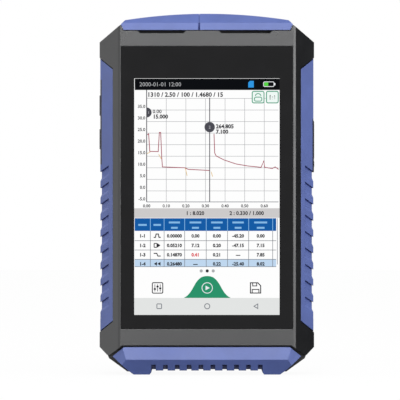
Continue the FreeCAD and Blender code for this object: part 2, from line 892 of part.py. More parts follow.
def bottom_end():
    core = body("bottom_core")
    root_half = half - size.toe_inset - size.bumper_gap
    heel = half - size.core_heel
    heel_in = heel - 1.8
    right = [
        (half - size.toe_inset, base_z),
        (half - size.toe_run - size.toe_flat, base_z - size.toe_drop),
        (half - size.core_side, base_z - size.toe_drop),
        (half - size.core_side - 0.6, base_z - size.toe_drop - 1.5),
        (heel, size.core_heel_high),
        (heel_in, size.core_heel_high),
        (heel_in - 2.1, size.core_under),
    ]
    core_front = front_y + size.core_front
    core_rear = rear_y - size.core_rear
    pad(core, "XZ", [both(right)], core_front, core_rear)
    bore = size.screw_shank + size.screw_play
    bores = [Circle(side * base_screw_x, base_screw_y, bore) for side in SIDES]
    pocket(core, "XY", bores, base_z - 7.0, base_z)

    bumper = body("bottom_bumper")
    top = base_z - size.bumper_gap
    right = [
        (root_half, top),
        (half - size.bumper_tip, size.bumper_tip_high),
        (half - size.bumper_shin, size.bumper_shin_high),
        (half - size.foot_out, dim(0.0)),
        (half - size.foot_in, dim(0.0)),
        (half - size.belly_in, size.belly_high),
    ]
    nose = front_y - size.bumper_proud
    back = rear_y - size.bumper_back
    pad(bumper, "XZ", [both(right)], nose, back)
    edge = half - size.bumper_flat
    deep = size.bumper_flat * size.bumper_rake
    before = nose - OVER
    ends = [
        [(side * edge, nose), (side * half, nose + deep), (side * half, before), (side * edge, before)]
        for side in SIDES
    ]
    pocket(bumper, "XY", ends, -OVER, base_z)
    lean = size.bumper_proud
    toe_front = nose + size.bumper_toe
    toe_back = back - size.bumper_toe
    front_facets = [
        (nose + lean, top + OVER),
        (nose + lean, top),
        (nose, size.bumper_brow),
        (toe_front, dim(0.0)),
        (toe_front, -OVER),
        (nose - OVER, -OVER),
        (nose - OVER, top + OVER),
    ]
    rear_facet = [
        (back, size.bumper_brow),
        (back + OVER, size.bumper_brow),
        (back + OVER, -OVER),
        (toe_back, -OVER),
        (toe_back, dim(0.0)),
    ]
    facets = [front_facets, rear_facet]
    pocket(bumper, "YZ", facets, -half, half)
    gap = size.core_gap
    room = [
        (half + OVER, base_z + OVER),
        (half + OVER, size.core_heel_high - gap),
        (heel_in - gap, size.core_heel_high - gap),
        (heel_in - 2.1 - gap, size.core_under - gap),
    ]
    pocket(bumper, "XZ", [both(room)], core_front - gap, core_rear + gap)
    first = -size.groove_pitch * (size.groove_count - 1) / 2
    width = size.groove_width / 2
    groove_ends = (
        (size.groove_high, back + OVER),
        (size.groove_face, nose + size.groove_deep),
    )
    for high, end in groove_ends:
        groove = rectangle(first - width, first + width, -OVER, size.belly_high + high)
        cut_row = pocket(bumper, "XZ", [groove], nose - OVER, end)
        repeat(bumper, cut_row, "X", size.groove_pitch, size.groove_count)


def screw(name, axis, across, sizes, seat, tip):
    """A plain screw with a hexagon socket: its head sits on seat and its shank ends at tip."""
    head, head_high, shank = sizes
    outward = 1 if dim(seat).value > dim(tip).value else -1
    top = dim(seat) + outward * head_high
    ends = (seat, top) if outward > 0 else (top, seat)
    shank_ends = (tip, seat) if outward > 0 else (seat, tip)
    drive_ends = (top - head_high / 2, top + OVER) if outward > 0 else (top - OVER, top + head_high / 2)
    whole = fuse(
        f"{name}_blank",
        prism(f"{name}_head", axis, across, head, *ends, 18),
        prism(f"{name}_shank", axis, across, shank, *shank_ends, 12),
    )
    return cut(name, whole, prism(f"{name}_drive", axis, across, head * 0.5, *drive_ends, 6))


def fasteners():
    case = (size.screw_head, size.screw_head_high, size.screw_shank)
    tip = board_y - size.screw_bite + 0.5
    made = [screw(f"case_screw_{i}", "y", at, case, screw_seat, tip) for i, at in enumerate(screw_places)]
    node("case_screws", group("case_screws", made))
    small = (dim(1.8), dim(1.0), bracket_shank)
    seat = panel_back + size.bracket_thick
    tip = inner_front - 0.6
    made = [screw(f"bracket_screw_{i}", "y", at, small, seat, tip) for i, at in enumerate(bracket_places)]
    node("bracket_screws", group("bracket_screws", made))
    small = (dim(2.2), dim(1.2), door_shank)
    seat = rear_y - size.door_gap - 1.3
    tip = door_floor - 3.4
    places = [(side * size.door_screw, door_screw_z) for side in SIDES]
    made = [screw(f"door_screw_{i}", "y", at, small, seat, tip) for i, at in enumerate(places)]
    node("door_screws", group("door_screws", made))
    places = [(side * base_screw_x, base_screw_y) for side in SIDES]
    tip = base_z - 6.6
    made = [screw(f"base_screw_{i}", "z", at, case, inner_low, tip) for i, at in enumerate(places)]
    node("base_screws", group("base_screws", made))
    small = (dim(1.4), dim(1.0), port_shank)
    seat = tray_floor + size.port_flange_high
    tip = tray_low + 0.4
    made = [screw(f"adapter_screw_{i}", "z", at, small, seat, tip) for i, at in enumerate(port_screws)]
    node("adapter_screws", group("adapter_screws", made))


port_shank = dim(0.8)
port_screws = [
    (x + side * size.port_screw, port_y + side * size.port_screw)
    for x in (otdr_x, meter_x, vfl_x)
    for side in SIDES
]


def display_stack():
    glass = body("cover_glass")
    outline = rounded(*span(glass_half), glass_low, glass_high, dim(0.3))
    pad(glass, "XZ", [outline], front_y, front_y + size.glass_thick)
    gasket = body("glass_gasket")
    outline = rounded(*span(glass_half), glass_low, glass_high, dim(0.3))
    pad(gasket, "XZ", [outline], front_y + size.glass_thick, shelf_y)
    gap = size.panel_gap
    hole = rectangle(*span(panel_half + gap), panel_low - gap, panel_high + gap)
    pocket(gasket, "XZ", [hole], front_y + size.glass_thick, shelf_y)
    panel = box("display_panel", span(panel_half), (panel_front, panel_back), (panel_low, panel_high))
    node("display_panel", panel)
    bracket = body("display_bracket")
    plate = rectangle(*span(inner_half - 0.2), panel_low + 3.0, panel_high - 3.0)
    pad(bracket, "XZ", [plate], panel_back, panel_back + size.bracket_thick)
    cable = rectangle(*span(dim(16.0)), panel_low + 12.0, panel_low + 20.0)
    holes = [Circle(x, z, bracket_shank + 0.15) for x, z in bracket_places]
    pocket(bracket, "XZ", holes + [cable], panel_back, panel_back + size.bracket_thick)


def boards():
    board = body("main_board")
    top = tray_low - 0.8
    outline = rectangle(*span(inner_half - size.board_gap), inner_low + 0.8, top)
    pad(board, "XZ", [outline], board_y, board_back)
    holes = [Circle(x, z, size.screw_shank + 0.15) for x, z in screw_places]
    pocket(board, "XZ", holes, board_y, board_back)
    shield = box("shield_can", (4.0, 26.0), (board_back, board_back + 2.6), (seat_z - 78.0, seat_z - 52.0))
    node("shield_can", shield)
    module = (9.0 - inner_half, 5.5 - size.split)
    case = box("otdr_module", module, (board_back, board_back + 13.0), (seat_z - 63.0, module_top))
    node("otdr_module", case)
    switches = []
    for index, z in enumerate(key_places):
        tip = -inner_half + size.key_gap + size.key_flange + size.key_travel + 0.1
        wide = (tip + 1.0, tip + 5.0)
        deep = (board_back, key_y + 1.8)
        case = box(f"switch_{index}", wide, deep, (z - 3.0, z + 3.0))
        stem = box(f"switch_stem_{index}", (tip, tip + 2.0), (key_y - 1.0, key_y + 1.0), (z - 1.4, z + 1.4))
        switches.append(fuse(f"key_switch_{index}", case, stem))
    node("key_switches", group("key_switches", switches))
    sockets = []
    for index, z in enumerate(socket_places):
        mouth = root - 0.1
        made = body(f"socket_{index}")
        nodes.pop(f"socket_{index}")
        skin = size.socket_skin
        pad(made, "YZ", [socket_outline(z, dim(0.0))], mouth - size.socket_long, mouth)
        pocket(made, "YZ", [socket_outline(z, -skin)], mouth - size.socket_long + 1.0, mouth)
        middle = board_back + size.socket_thick / 2
        tongue = rectangle(middle - 0.35, middle + 0.35, z - 3.3, z + 3.3)
        pad(made, "YZ", [tongue], mouth - size.socket_long + 0.5, mouth - 0.9)
        sockets.append(made)
    node("usb_sockets", group("usb_sockets", sockets))


module_top = seat_z - 29.2
stub_low = tray_low - 2.7


def ports():
    tray = body("port_tray")
    pad(tray, "XY", [rectangle(*span(tray_half), tray_front, tray_rear)], tray_low, seat_z)
    lip = size.tray_lip
    flange = rectangle(*span(tray_half + lip), tray_front - lip, tray_rear + lip)
    lip_top = inner_high - size.tray_gap
    pad(tray, "XY", [flange], lip_top - size.tray_lip_high, lip_top)
    wall = size.tray_wall
    ends = (tray_front + wall, tray_rear - wall)
    bays = [rectangle(*bay, *ends) for bay in (left_bay, right_bay)]
    pocket(tray, "XY", bays, tray_floor, seat_z)
    holes = [Circle(x, port_y, size.port_stub + 0.2) for x in (otdr_x, meter_x, vfl_x)]
    pilots = [Circle(x, y, port_shank + size.screw_play) for x, y in port_screws]
    pocket(tray, "XY", holes + pilots, tray_low, tray_floor)
    adapters = (("otdr_adapter", otdr_x, 1), ("meter_adapter", meter_x, 1), ("vfl_adapter", vfl_x, 0))
    for name, x, keyed in adapters:
        adapter = body(name)
        top = tray_floor + size.port_rise
        flange = size.port_flange
        plate = rounded(x - flange, x + flange, port_y - flange, port_y + flange, dim(1.0))
        pad(adapter, "XY", [plate], tray_floor, tray_floor + size.port_flange_high)
        pad(adapter, "XY", [Circle(x, port_y, size.port_barrel - 0.5 * (1 - keyed))], tray_floor, top)
        pad(adapter, "XY", [Circle(x, port_y, size.port_stub)], stub_low, tray_floor + OVER)
        mouth = top - size.port_mouth_deep
        pocket(adapter, "XY", [Circle(x, port_y, size.port_mouth)], mouth, top)
        pocket(adapter, "XY", [Circle(x, port_y, size.port_bore)], mouth - size.port_bore_long, top)
        reach = size.port_screw
        screws = [Circle(x + side * reach, port_y + side * reach, port_shank + 0.1) for side in SIDES]
        pocket(adapter, "XY", screws, tray_floor, tray_floor + size.port_flange_high)
        if keyed:
            slot = rectangle(x - 1.0, x + 1.0, port_y, port_y + size.port_barrel + OVER)
            pocket(adapter, "XY", [slot], top - 2.0, top)
    node("vfl_laser", rod("vfl_laser", "z", (vfl_x, port_y), 4.0, stub_low - 12.0, stub_low))
    node("meter_detector", rod("meter_detector", "z", (meter_x, port_y), 3.0, stub_low - 5.0, stub_low))
    fibre = body("fibre_pigtail")
    bend = size.fibre_bend
    path = new_sketch(fibre, "XZ", port_y)
    turn = stub_low - (stub_low - module_top - 2 * bend) / 2
    points = [
        (otdr_x, stub_low),
        (otdr_x, turn),
        (otdr_x - bend, turn - bend),
        (otdr_x - 2 * bend, turn - 2 * bend),
        (otdr_x - 2 * bend, module_top),
    ]
    corners = [Vector(x.value, z.value, 0) for x, z in points]
    path.addGeometry(Part.LineSegment(corners[0], corners[1]))
    low_left = Part.Circle(corners[1] - Vector(bend.value, 0, 0), Vector(0, 0, 1), bend.value)
    path.addGeometry(Part.ArcOfCircle(low_left, -math.pi / 2, 0))
    high_right = Part.Circle(corners[3] + Vector(bend.value, 0, 0), Vector(0, 0, 1), bend.value)
    path.addGeometry(Part.ArcOfCircle(high_right, math.pi / 2, math.pi))
    path.addGeometry(Part.LineSegment(corners[3], corners[4]))
    for joint in ((0, 2, 1, 2), (1, 1, 2, 1), (2, 2, 3, 1)):
        path.addConstraint(Sketcher.Constraint("Coincident", *joint))
    for geometry, corner, (x, z) in zip((0, 1, 1, 3, 3), (1, 2, 1, 1, 2), points):
        place(path, geometry, corner, x, z)
    set_radius(path, 1, bend)
    set_radius(path, 2, bend)
    doc.recompute()
    ring = new_sketch(fibre, "XY", stub_low)
    turns = [math.pi * step / 3 for step in range(6)]
    draw(ring, [(otdr_x + size.fibre * math.cos(t), port_y + size.fibre * math.sin(t)) for t in turns])
    pipe = fibre.newObject("PartDesign::AdditivePipe", "fibre_run")
    pipe.Profile = ring
    pipe.Spine = path
    settle(fibre, pipe, True, 0.0)


def crown(x, radius):
    """The height of the covers' arched top at a place across the case."""
    return crown_z - size.crown_radius + square_root(radius * radius - x * x)


def port_cover(name, low, high, point, hinge):
    """A hinged cap; point is the side of its outer, pointed end."""
    made = body(name)
    front = front_y + size.cover_gap
    back = hinge_y - size.knuckle - size.cover_clear
    bottom = seat_z + size.cover_gap
    tip_z = seat_z + size.cover_tip
    radius = size.crown_radius
    if point > 0:
        shoulder = high - size.cover_end
        inner_end = low - size.cover_lap
        outline = [
            (inner_end, bottom),
            (inner_end, crown(inner_end, radius), radius),
            (shoulder, crown(shoulder, radius)),
            (high, tip_z),
            (high - size.cover_lean, bottom),
        ]
    else:
        shoulder = low + size.cover_end
        outline = [
            (low + size.cover_lean, bottom),
            (low, tip_z),
            (shoulder, crown(shoulder, radius), radius),
            (high, crown(high, radius)),
            (high, bottom),
        ]
    pad(made, "XZ", [outline], front, back)
    brow = seat_z + size.cover_facet_high
    ridge = front + size.cover_facet_lean
    past = crown_z + OVER
    steep = (crown_z - brow) / size.cover_slope
    rear_high = seat_z + size.cover_rear_high
    rear_steep = (crown_z - rear_high) / size.cover_rear_slope
    front_facets = [
        (front, bottom),
        (ridge, brow),
        (ridge + (past - brow) / steep, past),
        (front - OVER, past),
        (front - OVER, bottom),
    ]
    rear_facet = [
        (back, rear_high),
        (back + OVER, rear_high),
        (back + OVER, past),
        (back - (past - rear_high) / rear_steep, past),
    ]
    pocket(made, "YZ", [front_facets, rear_facet], low - OVER, high + OVER)
    # The joint of the two covers: a lap that hides the gap, and a slot down the front facet.
    step_y = dim(0.0)
    if point > 0:
        lap = rectangle(low - OVER, low, front - OVER, step_y + 0.9)
        slot = rectangle(low - OVER, low + size.cover_slot, front - OVER, ridge + 0.4)
    else:
        lap = rectangle(high - size.cover_lap, high + OVER, step_y, back + OVER)
        slot = rectangle(high - size.cover_slot, high + OVER, front - OVER, ridge + 0.4)
    pocket(made, "XY", [lap], bottom - OVER, past)
    pocket(made, "XY", [slot], bottom - OVER, brow)
    skin = size.cover_skin
    left = low + skin + (size.cover_end if point < 0 else 0)
    right = high - skin - (size.cover_end if point > 0 else 0)
    hollow = [
        (left, bottom - OVER),
        (left, crown(left, radius - skin), radius - skin),
        (right, crown(right, radius - skin)),
        (right, bottom - OVER),
    ]
    hollow_front = front + size.cover_front_wall
    hollow_back = back - size.cover_rear_wall
    pocket(made, "XZ", [hollow], hollow_front, hollow_back)
    room = 0.4
    ring = size.seal_width + room
    outer = rectangle(left - ring, right + ring, hollow_front - ring, hollow_back + ring)
    inner = rectangle(left - room, right + room, hollow_front - room, hollow_back + room)
    seal_low = seat_z + size.seal_lift
    pocket(made, "XY", [outer, inner], bottom - OVER, seal_low + size.seal_high)
    seal = body(f"{name.split('_')[0]}_cover_seal")
    pad(seal, "XY", [outer, inner], seal_low, seal_low + size.seal_high)
    start, end = hinge
    start = start + size.ear_width + size.ear_gap
    end = end - size.ear_width - size.ear_gap
    web = rectangle(back - OVER, hinge_y, bottom + 0.2, seat_z + size.cover_rear_high)
    pad(made, "YZ", [web], start, end)
    pad(made, "YZ", [Circle(hinge_y, hinge_z, size.knuckle)], start, end)
    hole = Circle(hinge_y, hinge_z, size.hinge_pin + size.pin_play)
    pocket(made, "YZ", [hole], start - OVER, end + OVER)
    pin = rod(f"{name.split('_')[0]}_cover_pin", "x", (hinge_y, hinge_z), size.hinge_pin, *hinge)
    node(pin.Name, pin)


def covers():
    seam = size.cover_seam
    port_cover("left_port_cover", -cover_half, -size.split - seam, -1, hinge_spans[0])
    port_cover("right_port_cover", -size.split + seam, cover_half, 1, hinge_spans[1])


def battery():
    wide = span(size.battery_wide / 2)
    low = base_z + size.battery_above
    inside = door_floor - 0.9 - size.battery_gap
    pack = box("battery_pack", wide, (inside - size.battery_deep, inside), (low, low + size.battery_tall))
    node("battery_pack", pack)
    door = body("battery_door")
    outer = rear_y - size.door_gap
    pad(door, "XZ", [rounded(*span(door_half), door_low, door_high, dim(2.0))], door_floor, outer)
    lip = rectangle(*wide, low, low + size.battery_tall)
    pad(door, "XZ", [lip], door_floor - 0.9, door_floor + 0.5)
    places = [(side * size.door_screw, door_screw_z) for side in SIDES]
    pocket(door, "XZ", [Circle(x, z, dim(2.4)) for x, z in places], outer - 1.3, outer + OVER)
    pocket(door, "XZ", [Circle(x, z, door_shank + 0.15) for x, z in places], door_floor - OVER, outer)
    ridge = rounded(*span(dim(12.0)), door_high - 8.0, door_high - 6.8, dim(0.55))
    row = pocket(door, "XZ", [ridge], outer - 0.6, outer + OVER)
    repeat(door, row, "Z", dim(2.4), dim(4.0), backwards=True)


def stand():
    made = body("kickstand")
    front = stand_y - size.stand_thick / 2
    back = stand_y + size.stand_thick / 2
    wide = span(size.stand_half)
    plate = [
        (wide[0], stand_z),
        (wide[1], stand_z),
        (wide[1], stand_low + 6.0),
        (wide[1] - 6.0, stand_low),
        (wide[0] + 6.0, stand_low),
        (wide[0], stand_low + 6.0),
    ]
    pad(made, "XZ", [plate], front, back)
    pad(made, "YZ", [Circle(stand_y, stand_z, size.stand_thick / 2)], *wide)
    panel = rounded(wide[0] + 5.0, wide[1] - 5.0, stand_low + 12.0, stand_z - 8.0, dim(3.0))
    pocket(made, "XZ", [panel], back - 0.8, back + OVER)
    hole = [Circle(stand_y, stand_z, size.hinge_pin + size.pin_play)]
    pocket(made, "YZ", hole, stand_pin_in - 0.3, wide[1] + OVER)
    pocket(made, "YZ", hole, wide[0] - OVER, -stand_pin_in + 0.3)
    end = stand_pin_in + size.stand_pin_long
    pins = [
        rod("stand_pin_right", "x", (stand_y, stand_z), size.hinge_pin, stand_pin_in, end - 0.2),
        rod("stand_pin_left", "x", (stand_y, stand_z), size.hinge_pin, 0.2 - end, -stand_pin_in),
    ]
    node("stand_pins", group("stand_pins", pins))


def keys():
    outer = half - size.grip_set + size.key_proud
    inner = inner_half - size.key_gap - size.key_flange
    for name, z in zip(("power_button", "function_button"), key_places):
        made = body(name)
        pad(made, "YZ", [key_outline(z, dim(0.0))], -outer, -inner)
        lip = key_outline(z, size.key_flange)
        pad(made, "YZ", [lip], -inner - size.key_flange, -inner)


def flap():
    made = body("side_flap")
    gap = size.flap_gap
    outer = flap_x + size.flap_thick / 2
    inner = flap_x - size.flap_thick / 2
    low = flap_low + gap
    tab = low + 2.1
    ends = (flap_front + gap, flap_back - gap)
    profile = [
        (inner, low),
        (inner, flap_z),
        (outer, flap_z),
        (outer, tab + size.flap_tab),
        (half + size.nub_proud, tab + size.flap_tab - 0.5),
        (half + size.nub_proud, tab + 0.4),
        (outer, tab),
        (outer, low),
    ]
    pad(made, "XZ", [profile], *ends)
    pad(made, "XZ", [Circle(flap_x, flap_z, size.flap_knuckle)], *ends)
    pocket(made, "XZ", [Circle(flap_x, flap_z, size.flap_pin + size.pin_play)], flap_front, flap_back)
    pin = rod("flap_pin", "y", (flap_x, flap_z), size.flap_pin, flap_front - 1.8, flap_back + 1.8)
    node("flap_pin", pin)


def seal():
    made = body("shell_seal")
    pad(made, "XZ", [seal_path(dim(-0.02))], part_y, part_y + size.seal_width)


def write():
    doc.recompute()
    os.makedirs("parts", exist_ok=True)
    for thing in doc.Objects:
        if {"Invalid", "Error"} & set(thing.State):
            raise RuntimeError(f"{thing.Name} is {thing.State}")
    for name, made in nodes.items():
        shape = made.Shape
        if shape.isNull() or not shape.isValid():
            raise RuntimeError(f"{name} has no valid shape")
        shape.exportStep(f"parts/{name}.step")
        print(f"{name}: {len(shape.Solids)} solids, {shape.Volume:.0f} mm3")


front_shell()
rear_shell()
seal()
grips()
bottom_end()
display_stack()
boards()
ports()
covers()
battery()
stand()
keys()
flap()
fasteners()
write()
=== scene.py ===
import json
import math

import bpy
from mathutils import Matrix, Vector

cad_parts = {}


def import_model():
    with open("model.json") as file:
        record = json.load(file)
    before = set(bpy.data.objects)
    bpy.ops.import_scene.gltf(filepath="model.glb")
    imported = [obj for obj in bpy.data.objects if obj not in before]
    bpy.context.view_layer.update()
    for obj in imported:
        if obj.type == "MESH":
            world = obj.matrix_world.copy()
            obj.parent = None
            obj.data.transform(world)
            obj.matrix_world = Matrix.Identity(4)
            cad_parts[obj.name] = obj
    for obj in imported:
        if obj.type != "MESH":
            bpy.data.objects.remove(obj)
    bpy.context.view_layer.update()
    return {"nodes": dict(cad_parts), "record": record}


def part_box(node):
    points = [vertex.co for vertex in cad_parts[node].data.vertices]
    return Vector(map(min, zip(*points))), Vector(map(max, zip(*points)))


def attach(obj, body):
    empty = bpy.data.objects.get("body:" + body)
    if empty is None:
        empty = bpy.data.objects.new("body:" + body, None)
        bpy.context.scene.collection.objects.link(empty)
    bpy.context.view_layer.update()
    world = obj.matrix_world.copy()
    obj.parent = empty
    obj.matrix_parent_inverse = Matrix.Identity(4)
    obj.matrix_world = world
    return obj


# The looks of a handheld cable fault finder, in metres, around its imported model.

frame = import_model()
MM = 0.001


def srgb(red, green, blue):
    """A colour as it is seen on a display, from 0 to 255, as linear light."""
    parts = []
    for level in (red / 255, green / 255, blue / 255):
        parts.append(level / 12.92 if level <= 0.04045 else ((level + 0.055) / 1.055) ** 2.4)
    return (*parts, 1.0)


def grey(level):
    return (level, level, level, 1.0)


def tone(colour, factor):
    """The same colour, darker or brighter by a factor."""
    return (*(part * factor for part in colour[:3]), 1.0)


# Materials

BLUE = srgb(95, 113, 181)
# The colour of the painted shade in the rubber's creases.
CREASE_SHADE_NAVY = srgb(32, 48, 148)
# The colour of the painted shade along the grips' edges.
EDGE_SHADE_SLATE = srgb(40, 42, 58)
CHARCOAL = srgb(33, 34, 36)
BLACK = srgb(28, 28, 32)
# The stretch of a noise's values that is used.
NOISE_LOW = 0.3
NOISE_HIGH = 0.7
# How open a point is at the darkest and at the clear end of the painted shade in a crease.
CREASE_SHUT = 0.35
CREASE_OPEN = 0.85
CREASE_RAYS = 8
BEVEL_RAYS = 6
EDGE_SHADE_FADE = 0.05 * MM


class Shader:
    """A Principled material whose colour, roughness and relief come from noise in object space."""

    def __init__(self, name, **settings):
        self.material = bpy.data.materials.new(name)
        self.material.use_nodes = True
        self.tree = self.material.node_tree
        self.surface = self.tree.nodes["Principled BSDF"]
        self.place = self.add("TexCoord").outputs["Object"]
        for socket, value in settings.items():
            self.surface.inputs[socket.replace("_", " ")].default_value = value

    def add(self, kind, **inputs):
        made = self.tree.nodes.new(f"ShaderNode{kind}")
        for socket, value in inputs.items():
            made.inputs[socket.replace("_", " ")].default_value = value
        return made

    def link(self, start, end):
        self.tree.links.new(start, end)

    def noise(self, size, detail=2.0, stretch=None):
        """Noise whose features are about so many millimetres across."""
        made = self.add("TexNoise", Scale=1 / (size * MM), Detail=detail)
        place = self.place
        if stretch:
            mapping = self.add("Mapping", Scale=stretch)
            self.link(place, mapping.inputs["Vector"])
            place = mapping.outputs["Vector"]
        self.link(place, made.inputs["Vector"])
        return made.outputs["Fac"]

    def ramp(self, factor, low, high):
        """Turns noise into a number between two ends."""
        made = self.add("MapRange", From_Min=NOISE_LOW, From_Max=NOISE_HIGH, To_Min=low, To_Max=high)
        self.link(factor, made.inputs["Value"])
        return made.outputs["Result"]

    def colour(self, factor, low, high, socket="Base Color"):
        """Gives the surface a mix of two colours."""
        made = self.tree.nodes.new("ShaderNodeMix")
        made.data_type = "RGBA"
        made.inputs["A"].default_value = low
        made.inputs["B"].default_value = high
        self.link(factor, made.inputs["Factor"])
        self.link(made.outputs["Result"], self.surface.inputs[socket])
        return made

    def edge_shade(self, mixed, dark, edge, rear, low, high):
        """Paints shade on what lies further out than an edge, ahead of a rear limit and between two
        heights.
        """
        limits = (
            ("X", edge, math.copysign(EDGE_SHADE_FADE, edge)),
            ("Y", rear, -EDGE_SHADE_FADE),
            ("Z", low, EDGE_SHADE_FADE),
            ("Z", high, -EDGE_SHADE_FADE),
        )
        axes = self.add("SeparateXYZ")
        self.link(self.place, axes.inputs["Vector"])
        inside = None
        for axis, limit, rise in limits:
            step = self.add("MapRange", From_Min=limit, From_Max=limit + rise)
            self.link(axes.outputs[axis], step.inputs["Value"])
            both = self.add("Math")
            both.operation = "MULTIPLY"
            self.link(step.outputs["Result"], both.inputs[0])
            self.link(inside or step.outputs["Result"], both.inputs[1])
            inside = both.outputs[0]
        made = self.colour(inside, dark, dark)
        self.link(mixed.outputs["Result"], made.inputs["A"])
        return made

    def crease_shade(self, mixed, dark, reach):
        """Paints shade into inner corners closer than a reach in millimetres."""
        near = self.add("AmbientOcclusion", Distance=reach * MM)
        near.samples = CREASE_RAYS
        near.only_local = True
        clear = self.add("MapRange", From_Min=CREASE_SHUT, From_Max=CREASE_OPEN)
        self.link(near.outputs["AO"], clear.inputs["Value"])
        made = self.colour(clear.outputs["Result"], dark, dark)
        self.link(mixed.outputs["Result"], made.inputs["B"])

    def relief(self, factor, depth, edge=0.0):
        """Grain of a depth in millimetres, over edges softened by a radius in millimetres."""
        bump = self.add("Bump", Strength=1.0, Distance=depth * MM)
        self.link(factor, bump.inputs["Height"])
        if edge:
            bevel = self.add("Bevel", Radius=edge * MM)
            bevel.samples = BEVEL_RAYS
            self.link(bevel.outputs["Normal"], bump.inputs["Normal"])
        self.link(bump.outputs["Normal"], self.surface.inputs["Normal"])


def moulded(name, colour, rough, grain, depth, edge, crease_shade=0.0, edge_shade=None, **settings):
    """Moulded plastic or rubber: fine grain, uneven gloss and a faint cloudiness of colour.

    In millimetres: the grain's size and depth, the radius of edges and the reach of the painted shade in
    creases.
    """
    cloud_size = 9.0
    handled_size = 14.0
    made = Shader(name, **settings)
    cloud = made.ramp(made.noise(cloud_size, 3.0), 0.0, 1.0)
    mixed = made.colour(cloud, tone(colour, 0.93), tone(colour, 1.07))
    # Painted shade along an outer edge, where its limits are given.
    if edge_shade:
        mixed = made.edge_shade(mixed, EDGE_SHADE_SLATE, *edge_shade)
    # Painted shade in creases, darkest where a point is least open.
    if crease_shade:
        made.crease_shade(mixed, CREASE_SHADE_NAVY, crease_shade)
    handled = made.ramp(made.noise(handled_size, 4.0), rough - 0.05, rough + 0.05)
    made.link(handled, made.surface.inputs["Roughness"])
    made.relief(made.noise(grain), depth, edge)
    return made.material


def blue_rubber(name, edge_shade=None):
    """The rubber of the grips, the bumper and the covers."""
    # The painted shade in creases reaches 1.6 mm.
    return moulded(name, BLUE, 0.52, 0.30, 0.010, 0.35, 1.6, edge_shade, Specular_IOR_Level=0.8)


def metal(name, colour, rough, stretch):
    """Metal with fine tool marks along one axis."""
    mark_size = 0.5
    mark_depth = 0.004
    edge = 0.15
    made = Shader(name, Metallic=1.0)
    marks = made.noise(mark_size, stretch=stretch)
    made.colour(made.ramp(marks, 0.0, 1.0), tone(colour, 0.85), tone(colour, 1.1))
    made.link(made.ramp(marks, rough - 0.08, rough + 0.1), made.surface.inputs["Roughness"])
    made.relief(marks, mark_depth, edge)
    return made.material


def glass(name, colour):
    """Polished black glass with the faint haze that fingers leave."""
    haze_size = 11.0
    wave_size = 30.0
    wave_depth = 0.002
    edge = 0.2
    made = Shader(name, Specular_IOR_Level=0.2)
    haze = made.noise(haze_size, 4.0)
    made.colour(made.ramp(haze, 0.0, 1.0), tone(colour, 0.85), tone(colour, 1.15))
    made.link(made.ramp(haze, 0.035, 0.09), made.surface.inputs["Roughness"])
    made.relief(made.noise(wave_size, 1.0), wave_depth, edge)
    return made.material


def circuit(name, colour):
    """A circuit board: solder mask over a maze of tracks."""
    track_pitch = 1.6 * MM
    track_depth = 0.03
    mask_size = 3.0
    made = Shader(name)
    cells = made.add("TexVoronoi", Scale=1 / track_pitch)
    cells.distance = "MANHATTAN"
    made.link(made.place, cells.inputs["Vector"])
    tracks = made.ramp(cells.outputs["Distance"], 0.0, 1.0)
    made.colour(tracks, tone(colour, 0.7), tone(colour, 1.6))
    made.link(made.ramp(made.noise(mask_size), 0.3, 0.42), made.surface.inputs["Roughness"])
    made.relief(tracks, track_depth)
    return made.material


def lit(name, colour):
    """A lit part of the display, with the fine grid of its pixels."""
    pixel_pitch = 0.135 * MM
    smear_size = 20.0
    made = Shader(name, Base_Color=grey(0.002), Specular_IOR_Level=0.02, Emission_Strength=1.0)
    pixels = made.add("TexVoronoi", Scale=1 / pixel_pitch, Randomness=0.0)
    made.link(made.place, pixels.inputs["Vector"])
    made.colour(pixels.outputs["Distance"], tone(colour, 1.02), tone(colour, 0.97), "Emission Color")
    made.link(made.ramp(made.noise(smear_size), 0.1, 0.14), made.surface.inputs["Roughness"])
    return made.material


SLOTS = {
    "case_grey": moulded("charcoal_plastic", CHARCOAL, 0.32, 0.35, 0.006, 0.35, Specular_IOR_Level=0.9),
    "grip_blue": blue_rubber("blue_rubber"),
    "glass_black": glass("black_glass", srgb(14, 14, 16)),
    "seal_black": moulded("black_foam", BLACK, 0.80, 0.50, 0.030, 0.1),
    "display": glass("display_cell", srgb(30, 34, 42)),
    "steel": metal("plain_steel", srgb(176, 178, 182), 0.32, (1.0, 1.0, 14.0)),
    "board_green": circuit("solder_mask", srgb(20, 92, 52)),
    "module_metal": metal("milled_aluminium", srgb(188, 190, 194), 0.36, (1.0, 12.0, 1.0)),
    "port_metal": metal("nickelled_brass", srgb(196, 190, 176), 0.24, (1.0, 1.0, 10.0)),
    "fibre_yellow": moulded("fibre_jacket", srgb(226, 186, 40), 0.35, 0.30, 0.004, 0.0),
    "battery_foil": moulded("shrink_wrap", srgb(60, 78, 120), 0.28, 6.0, 0.080, 0.4),
    "back_black": moulded("black_plastic", BLACK, 0.48, 0.40, 0.012, 0.3),
    "key_black": moulded("black_silicone", srgb(34, 35, 46), 0.55, 0.30, 0.008, 0.3),
    "flap_black": moulded("dark_rubber", srgb(38, 39, 50), 0.60, 0.30, 0.010, 0.3),
    "switch_black": moulded("switch_plastic", BLACK, 0.35, 0.40, 0.004, 0.1),
}

for part in frame["record"]["subparts"]:
    frame["nodes"][part["node"]].data.materials.clear()
    frame["nodes"][part["node"]].data.materials.append(SLOTS[part["material_slot"]])


# Painted shade along the grips' outer edges, round the keys and round the flap

